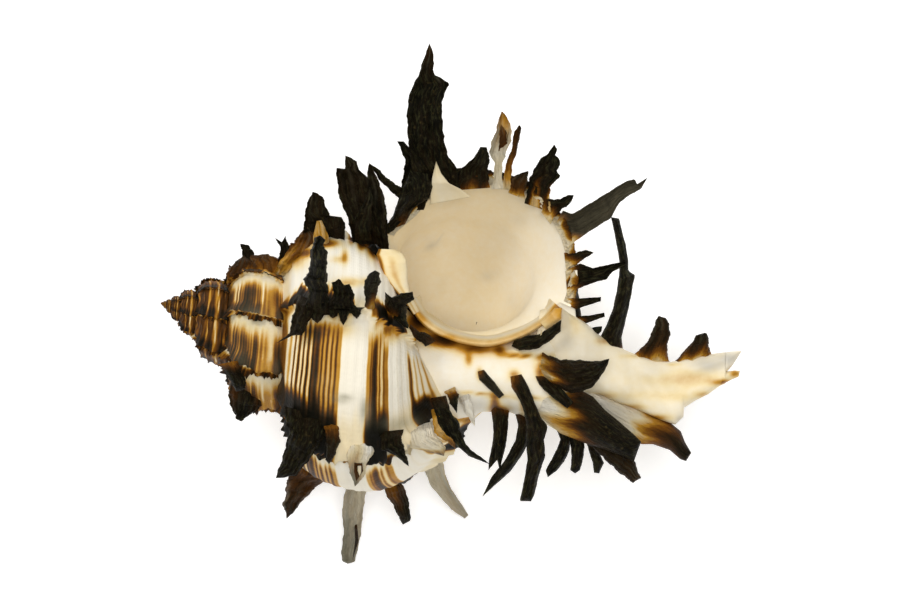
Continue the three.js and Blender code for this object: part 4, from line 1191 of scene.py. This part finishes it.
PILLAR_SPOTS = (
    (-5.2, -1.8, 1.6, 1.5, 0.62), (-2.0, -4.3, 2.4, 1.0, 0.55), (-0.6, -4.9, 1.6, 0.8, 0.26),
    (2.2, -5.6, 2.0, 1.0, 0.24), (4.8, -5.8, 2.2, 0.9, 0.26), (7.4, -6.0, 0.9, 0.8, 0.34),
    (2.6, -7.4, 0.6, 1.0, 0.28), (9.6, -6.7, 1.8, 0.5, 0.26), (12.4, -6.9, 3.0, 0.25, 0.30),
    (4.3, -9.6, 0.5, 0.9, 0.26), (9.6, -9.8, 0.9, 0.8, 0.26), (13.4, -9.6, 0.6, 0.9, 0.24),
    (14.2, -8.4, 1.3, 1.2, 0.26), (15.4, -10.2, 1.4, 1.4, 0.26), (6.6, -14.2, 0.7, 1.6, 0.40),
    (7.4, -15.4, 1.4, 0.8, 0.5), (15.2, -15.0, 0.6, 1.6, 0.36), (17.4, -14.6, 1.6, 2.0, 0.30),
    (19.0, -17.4, 2.4, 1.4, 0.40), (3.4, -12.6, 2.6, 0.22, 0.24), (7.0, -12.9, 2.2, 0.2, 0.22),
    (12.2, -13.2, 3.0, 0.22, 0.24), (10.8, -14.6, 0.4, 1.8, 0.20),
)
# Grey on the pillar's lower part: a painted shadow where its surface turns down, out of the light.
PILLAR_PAINTED_SHADOW = ((3.4, -14.2, 2.6, 1.6, 0.34), (11.4, -14.6, 3.0, 1.4, 0.28), (8.6, -16.0, 1.2, 0.9, 0.4))
PILLAR_EDGES = (
    ((-8.0, 2.0), (-5.4, -1.0), (-1.0, -3.4), (4.0, -4.9), (8.6, -4.5), (13.2, -2.4), (16.6, 1.4),
     (19.0, 0.4)),
    ((-8.0, -12.0), (-4.0, -14.4), (1.0, -16.6), (3.4, -16.1), (4.7, -15.5), (9.0, -15.6), (12.1, -16.8),
     (14.8, -17.6), (16.7, -18.7), (19.0, -20.0), (21.4, -20.6)),
)
PILLAR_SHAPE = {"up": (28, 29, 30, 30.5, 31), "high": (6, 6.6, 6.8, 6.2, 2.4), "low": (5, 6, 6, 6, 5),
                "square": 0.8, "seed": 3}
put_solid("pillar", PILLAR_EDGES, PILLAR_SHAPE, stained(0.01, 1.0, PILLAR_SPOTS), porcelain, PILLAR_PAINTED_SHADOW)

# The lip's wedge and knob: a thin pointed plate of white shell at the mouth's top, and a small rounded
# bump where the inner lip ends by the canal. Both grew with the lip.
WEDGE_EDGES = (
    ((-3.4, 16.4), (-3.2, 18.6), (-3.0, 20.6), (-2.4, 23.1)),
    ((3.0, 17.6), (1.4, 18.8), (-0.4, 19.7), (-1.6, 21.2), (-2.4, 23.1)),
)
WEDGE_SHAPE = {"up": (31.6, 33.4, 34.2), "high": (0.5, 0.5, 0.3), "low": (0.8, 0.6, 0.3), "rows": 40,
               "seed": 7}
# The wedge is painted darker tan and grey than the glaze's own colour: a painted shade, to match the shaded
# hollow of the mouth beside it.
put_solid("lip_wedge", WEDGE_EDGES, WEDGE_SHAPE, stained(0.10), porcelain, ((-1.0, 18.6, 6.0, 5.0, 0.46),))
KNOB_EDGES = (
    ((13.6, -1.7), (14.8, -0.6), (15.9, 0.5), (17.0, 0.5)),
    ((14.6, -2.9), (15.8, -2.1), (16.9, -1.2), (17.0, 0.5)),
)
KNOB_SHAPE = {"up": (35.6, 36.6, 36.4), "high": (0.8, 0.9, 0.6), "low": (2, 2, 2), "rows": 40, "seed": 9}
put_solid("lip_knob", KNOB_EDGES, KNOB_SHAPE, lambda points, share, across: 0.12 + 0.12 * share, porcelain)

# The siphonal canal: the pillar runs out into a broad solid trough of pale shell, stained ochre and grey,
# with a painted shade at its hollow end. Its end is worn to a notch between two tips, which are pieces of
# their own here.
CANAL_SPOTS = (
    (31.0, -10.6, 3.4, 1.0, 0.10), (35.4, -10.4, 3.0, 1.6, 0.14), (39.0, -10.4, 3.2, 1.2, 0.16),
    (30.4, -13.0, 4.0, 0.9, 0.12), (35.0, -13.2, 2.4, 0.8, 0.10), (41.6, -10.9, 1.8, 0.45, 0.34),
    (38.6, -12.8, 1.2, 0.5, 0.22), (43.6, -9.6, 0.8, 0.6, 0.40), (23.6, -13.0, 2.0, 0.5, 0.20),
    (27.4, -14.8, 2.4, 0.5, 0.34), (31.0, -16.4, 2.2, 0.5, 0.44), (34.0, -8.2, 1.2, 0.25, 0.14),
    (28.0, -6.9, 2.0, 0.3, 0.16), (19.0, -1.6, 0.8, 2.0, 0.10), (23.4, -4.6, 1.2, 0.5, 0.28),
)
# Grey on the canal: the first two spots, at its end, are a painted shade in its open hollow; the rest are
# grey patches in its colour.
CANAL_GREY_AND_PAINTED_SHADE = (
    (39.4, -8.2, 2.4, 1.2, 0.60), (42.6, -7.2, 1.8, 0.9, 0.60), (22.0, -6.0, 4.2, 3.4, 0.30),
    (35.2, -16.8, 0.8, 0.8, 0.5), (30.0, -9.8, 6.0, 3.0, 0.16), (18.0, -4.0, 3.0, 3.0, 0.30),
)
CANAL_EDGES = (
    ((13.6, 0.2), (16.7, 0.8), (18.2, -0.3), (20.2, -1.5), (21.8, -2.7), (22.8, -3.7), (24.4, -4.6),
     (26.8, -6.0), (29.0, -6.9), (31.3, -7.5), (33.6, -7.8), (35.9, -7.4), (38.7, -6.8), (40.6, -6.5),
     (42.2, -6.3)),
    ((12.0, -12.9), (19.0, -12.4), (22.8, -12.8), (25.9, -14.2), (29.0, -15.3), (32.1, -16.7), (34.4, -17.5),
     (35.7, -16.3), (35.8, -14.9), (37.5, -13.8), (39.5, -12.8), (41.3, -11.5), (42.2, -11.1)),
)
CANAL_SHAPE = {"up": (31, 31, 30.8, 31, 31), "high": (4.6, 4.2, 3.0, 2.5, 2.3),
               "low": (4.6, 4.0, 3.6, 3.0, 2.0), "trough": 0.5, "square": 0.6, "seed": 4}
put_solid("canal", CANAL_EDGES, CANAL_SHAPE, stained(0.05, 0.6, CANAL_SPOTS), porcelain, CANAL_GREY_AND_PAINTED_SHADE)
NOTCH_EDGES = {
    "canal_tip": (
        ((39.6, -6.7), (42.9, -6.2), (44.7, -6.1)),
        ((39.6, -10.2), (42.3, -9.4), (43.3, -8.3), (44.7, -6.1)),
    ),
    "canal_notch_side": (
        ((39.4, -8.8), (42.3, -9.3), (43.6, -9.1), (44.4, -9.2)),
        ((39.4, -12.8), (41.3, -11.5), (43.0, -10.6), (44.2, -10.1), (44.4, -9.2)),
    ),
}
NOTCH_SHAPE = {"up": (30.8, 31, 31), "high": (1.4, 1.9, 0.8), "low": (1.4, 1.7, 0.8), "rows": 60,
               "square": 0.6, "seed": 8}
for name, edges in NOTCH_EDGES.items():
    put_solid(name, edges, NOTCH_SHAPE, stained(0.035, 0.8, CANAL_SPOTS), porcelain, CANAL_GREY_AND_PAINTED_SHADE)

# The older canals: the solid ends of the canals that earlier lips left behind, side by side under the
# newest one. White at the root, then amber, and black at the end.
UNDER_CANAL_EDGES = (
    ((20.0, -11.6), (24.4, -13.3), (27.8, -14.6), (30.8, -15.9), (33.6, -17.1), (35.3, -18.5), (35.9, -20.1),
     (36.9, -21.8)),
    ((20.4, -14.4), (23.6, -15.9), (25.9, -17.8), (27.9, -19.2), (29.2, -20.5), (31.0, -20.5), (33.6, -21.4),
     (35.2, -22.8), (36.1, -23.1), (36.9, -21.8)),
)
UNDER_CANAL_SHAPE = {"up": (30, 30, 29.5, 29), "high": (3.0, 3.0, 2.6, 1.4), "low": (3, 3, 2.6, 1.4),
                     "seed": 5}
OLDER_CANAL_EDGES = (
    ((14.6, -12.2), (18.2, -12.5), (20.2, -12.3), (21.8, -13.2), (23.6, -15.2), (25.9, -17.1), (28.2, -19.1),
     (29.2, -20.1)),
    ((13.2, -16.0), (16.7, -18.8), (20.2, -20.2), (22.8, -21.1), (25.9, -22.2), (28.1, -23.1), (28.7, -21.4),
     (29.2, -20.1)),
)
OLDER_CANAL_SHAPE = {"up": (33, 35, 36, 36), "high": (3, 3.4, 2.8, 1.2), "low": (3, 3, 2.4, 1.2), "seed": 6}


def flamed(stops, tones, seed):
    """A shade for put_solid that follows the share of the length in long flames."""
    return lambda points, share, across: np.interp(
        share + 0.09 * ripple(across * 1.5, share * 3, seed), stops, tones)


put_solid("under_canal", UNDER_CANAL_EDGES, UNDER_CANAL_SHAPE,
          flamed((0, 0.44, 0.58, 0.76, 1), (0.0, 0.06, 0.34, 0.66, 0.90), 61), frond_material)
put_solid("older_canal", OLDER_CANAL_EDGES, OLDER_CANAL_SHAPE,
          flamed((0, 0.10, 0.24, 0.38, 0.6, 1), (0.02, 0.14, 0.34, 0.74, 0.93, 0.97), 62), frond_material)

# The dark leaves at the roots of the canals: the folded end of the oldest canal, the boat-shaped black
# leaf that lies over the neck, and the small one by the end of the inner lip, with its pale chip.
put_fronds("old_canal_ends", [
    frond(((22.6, -19.0), (26.2, -21.4), (28.2, -22.8)), ((20.6, -20.2), (23.6, -23.1), (25.9, -25.2),
          (27.9, -26.6)), (29.2, -25.7), (35, 35, 34), deep=1.6, tone=(0.8, 0.8, 0.7), turn=0.5, ribs=6.0),
    frond(((13.2, -6.0), (16.7, -7.3), (19.8, -7.4), (22.1, -7.6)), ((13.8, -10.8), (18.2, -12.7),
          (19.8, -12.7), (21.9, -11.7), (22.8, -10.6), (23.5, -9.4), (24.1, -8.3)), (24.3, -7.3),
          (37.2, 40.2, 41, 41), deep=1.6, tone=(0.16, 0.8, 0.96), turn=0.3, ribs=7.0, flame=0.12, sunk=2.8,
          thick=1.6, tear=0.3, rough=1.2),
    frond(((9.6, -4.6), (11.3, -3.7), (13.6, -3.4), (15.1, -2.4)), ((9.2, -5.4), (10.5, -6.1), (12.1, -6.1),
          (13.6, -5.7), (15.4, -4.5), (16.8, -3.2)), (16.9, -1.3), (37.6, 38.0, 37.6), deep=0.5,
          tone=(0.85, 0.95, 0.9), thick=1.4, tear=0.2),
    frond(((13.8, -2.9),), ((13.5, -3.9), (13.9, -3.6)), (13.9, -3.1), (38.9, 39.0), deep=0.1,
          tone=(0.1, 0.1, 0.2), thick=0.4, tear=0.0),
])

# The fronds of the base: curved black spines in rows on the neck of the canal, left there by the lips
# before, some lying over the pillar and some hanging past its lower edge.
put_fronds("base_fronds", [
    frond(((5.0, -9.0), (6.7, -11.0)), ((4.0, -9.3), (4.2, -10.6), (5.5, -11.8), (7.3, -13.5)),
          (8.1, -12.9), (37.0, 38, 38.5), deep=1.0, tone=(0.5, 0.92, 0.88), worn=(0.0, 0.2, 0.3), tear=0.1),
    frond(((14.1, -10.0), (15.9, -11.1), (17.4, -12.3), (18.8, -14.0)), ((12.9, -10.0), (13.3, -11.2),
          (14.4, -12.4), (16.1, -13.8)), (17.8, -15.0), (37.4, 38.5, 38.5), deep=1.0, tone=(0.4, 0.9, 0.95),
          tear=0.12),
    frond(((10.8, -9.7), (12.1, -12.1), (13.0, -14.4), (13.9, -16.5), (14.9, -17.7), (14.3, -19.8),
          (14.5, -22.2), (13.5, -25.2), (12.8, -28.3)), ((8.9, -10.1), (9.2, -11.8), (10.4, -13.7),
          (11.1, -15.7), (11.4, -17.5), (11.4, -20.3), (11.6, -22.9), (11.1, -26.0), (10.4, -29.3)),
          (12.2, -29.3), (37.2, 38, 36, 34), deep=1.5, tone=(0.4, 0.92, 0.95), turn=0.12, tear=0.15),
    frond(((8.9, -14.6), (8.7, -18.3), (8.4, -20.6), (7.8, -22.9)), ((6.0, -14.4), (6.4, -18.6),
          (6.2, -20.6), (5.7, -22.9), (5.6, -24.6), (6.4, -22.5), (7.0, -22.9)), (7.4, -24.7), (33, 33, 32),
          deep=1.2, tone=(0.3, 0.92, 1.0), turn=0.2, tear=0.1),
    frond(((11.9, -16.6), (11.7, -20.6), (10.8, -22.3), (9.0, -24.8), (6.7, -26.8)), ((9.7, -15.5),
          (10.2, -17.5), (9.8, -19.8), (8.2, -22.9), (6.1, -25.5)), (4.7, -28.6), (32, 32, 31, 30),
          deep=1.3, wrap=80.0, tone=(0.6, 0.95, 1.0), tear=0.08, rough=0.8),
    frond(((18.8, -17.4), (18.2, -21.4), (17.4, -23.2), (16.2, -24.6)), ((15.6, -17.0), (16.7, -19.8),
          (15.9, -21.7), (14.4, -24.5)), (14.8, -25.6), (32, 32, 31), deep=1.2, tone=(0.35, 0.95, 1.0),
          turn=0.25, tear=0.12),
    frond(((20.6, -18.8), (20.4, -22.5), (19.8, -24.5)), ((17.9, -18.4), (18.4, -22.2), (18.2, -24.5)),
          (19.0, -25.0), (33, 33, 32), deep=1.1, tone=(0.5, 0.95, 1.0), tear=0.15),
    frond(((22.6, -20.4), (23.0, -22.2), (23.5, -23.4)), ((20.6, -20.0), (21.6, -23.2), (21.9, -24.9)),
          (22.7, -25.0), (32, 32, 31), deep=1.0, tone=(0.5, 0.95, 1.0), tear=0.12),
], sunk=0.3)

# The inner lip: a thin glaze laid over the pillar along the mouth's lower edge, cream with an
# orange rim, and widened at the left into a tongue. It grew as part of the shell, after the pillar.
INNER_LIP = (
    (-6.4, 1.6), (-5.7, 0.4), (-4.8, -1.0), (-3.2, -2.4), (-1.5, -3.4), (0.9, -4.3), (3.9, -4.9), (6.5, -4.9),
    (9.1, -4.2), (11.6, -3.2), (14.1, -1.6), (15.7, 0.0), (16.4, 0.8),
)
LIP_SECTION = (
    (1.9, 26.4), (1.5, 30.6), (1.1, 33.8), (0.75, 35.9), (0.3, 36.7), (-0.1, 36.9), (-0.45, 36.6),
    (-0.65, 35.4), (-0.5, 32.0), (0.3, 28.4), (1.4, 25.6),
)
LIP_SPOTS = ((16.2, 0.2, 1.0, 1.0, 0.12), (-5.0, -1.0, 1.4, 1.0, 0.10), (-1.5, -4.2, 2.0, 0.6, 0.16))
LIP_ROWS, LIP_COLS = 150, 64
lip_line = through(INNER_LIP, np.linspace(0, len(INNER_LIP) - 1, LIP_ROWS))
lip_run = np.gradient(lip_line, axis=0)
lip_run = lip_run / np.linalg.norm(lip_run, axis=1)[:, None]
lip_in = np.stack([-lip_run[:, 1], lip_run[:, 0]], axis=1)
section = through(LIP_SECTION, np.linspace(0, len(LIP_SECTION), LIP_COLS, endpoint=False), closed=True)
share = np.linspace(0, 1, LIP_ROWS)[:, None]
lip_offset = section[None, :, 0] * (0.8 + 0.35 * smooth(0.8, 1.0, share) + 0.06 * ripple(share * 20, 0, 3))
lip_height = section[None, :, 1] - 2.4 * smooth(0.62, 1.0, share) - 1.0 * smooth(0.2, 0, share)
lip_height = lip_height + 0.12 * ripple(share * 30, lip_offset, 2)
points = seen(lip_line[:, None, :] + lip_in[:, None, :] * lip_offset[..., None], lip_height)
orange = smooth(0.95, 0.30, lip_offset) * (section[None, :, 1] > 33)
fringe = smooth(-0.25, -0.6, lip_offset) * (0.5 + 0.5 * ripple(share * 34, lip_offset * 2, 9))
lip_shade = 0.07 * smooth(0.9, 1.3, lip_offset) + (0.17 + 0.05 * smooth(0.85, 0.95, share)) * orange
lip_shade = lip_shade + blots(points, LIP_SPOTS) + 0.16 * fringe
put_tube("inner_lip", points, {"shade": lip_shade, "grey": 0.0}, [porcelain])

TONGUE_EDGES = (
    ((-8.6, 9.5), (-7.5, 8.9), (-7.0, 8.0), (-6.8, 6.3), (-6.8, 4.8), (-6.5, 3.3), (-5.9, 1.7), (-5.0, 0.0)),
    ((-11.2, 9.6), (-11.6, 8.7), (-11.1, 7.3), (-10.7, 5.4), (-9.5, 3.9), (-8.2, 2.6), (-6.9, 1.0),
     (-5.9, -0.6)),
)
points, share, across, _ = between(*TONGUE_EDGES, up=(37, 38.5, 38.5, 38, 36), high=(1.6, 1.4, 1.2, 1.2, 1.0),
                                   low=(3, 3, 3, 3, 3), square=0.6)
side = across / np.maximum(np.abs(across).max(axis=1)[:, None], 0.2)
tongue_shade = 0.08 + 0.11 * swell(0.26, 0.05, side) * smooth(0.06, 0.3, share)
tongue_shade = tongue_shade + 0.30 * swell(0.14, 0.88, side)
put_tube("parietal_tongue", points, {"shade": tongue_shade, "grey": 0.0}, [porcelain])

# The lip's web: a ruffled edge that joins the roots of the lip's fronds, folded between them. White
# at the mouth, amber and then black outside; broad on the left and narrow towards the canal.
WEB_SPAN = (
    (176.0, 0.8, 0.75), (164.0, 1.1, 0.8), (152.0, 2.2, 1.0), (141.0, 3.6, 1.0), (131.0, 3.0, 1.0),
    (118.0, 2.2, 1.0), (107.0, 1.9, 0.9), (96.0, 1.3, 0.6), (80.0, 1.2, 0.7), (60.0, 1.1, 0.7),
    (40.0, 0.9, 0.5), (15.0, 0.7, 0.35), (-12.0, 0.6, 0.35),
)
WEB_ROWS, WEB_COLS = 420, 40
WEB_MOUTH_POINTS = 600
MOUTH_HALF = 14.0
WEB_FOLD = 3.1
web_angle = np.linspace(WEB_SPAN[0][0], WEB_SPAN[-1][0], WEB_ROWS)[:, None]
spans = np.array(WEB_SPAN)[::-1]
web_reach = np.interp(web_angle, spans[:, 0], spans[:, 1])
web_dark = np.interp(web_angle, spans[:, 0], spans[:, 2])
web_angle = np.radians(web_angle)
length = web_angle * MOUTH_HALF
web_reach = web_reach * (0.85 + 0.4 * (torn(length, 41) - 0.4))
round_web = np.linspace(0, 2 * np.pi, WEB_COLS, endpoint=False)[None, :]
web_out = (0.5 - 0.5 * np.cos(round_web)) * (web_reach + 1.0) - 0.9
fluting = 0.25 * np.sin(length * 2 * np.pi / WEB_FOLD) * smooth(0.2, 1.6, web_out)
web_up = -0.1 + 0.4 * np.sin(round_web) * smooth(-0.9, 0.3, web_out) + fluting
web_up = web_up + 0.25 * ripple(length * 1.6, web_out * 2, 6) * smooth(-0.2, 0.6, web_out)
web_radius = mouth_radius(web_angle, WEB_MOUTH_POINTS) + web_out
along = TUBE_MIDDLE[0] + web_radius * np.cos(web_angle)
out = TUBE_MIDDLE[1] + web_radius * np.sin(web_angle)
web_shade = 0.07 + web_dark * smooth(-0.35, 0.75, web_out + 0.35 * ripple(length * 2.2, 0 * web_out, 17))
put_tube("lip_web", from_axis(along, out, web_up - 0.35 * (web_out < -0.5)), {
    "shade": web_shade,
    "across": length,
    "length": web_out * 4,
    "worn": 0.0,
    "number": 0.0,
}, [frond_material])
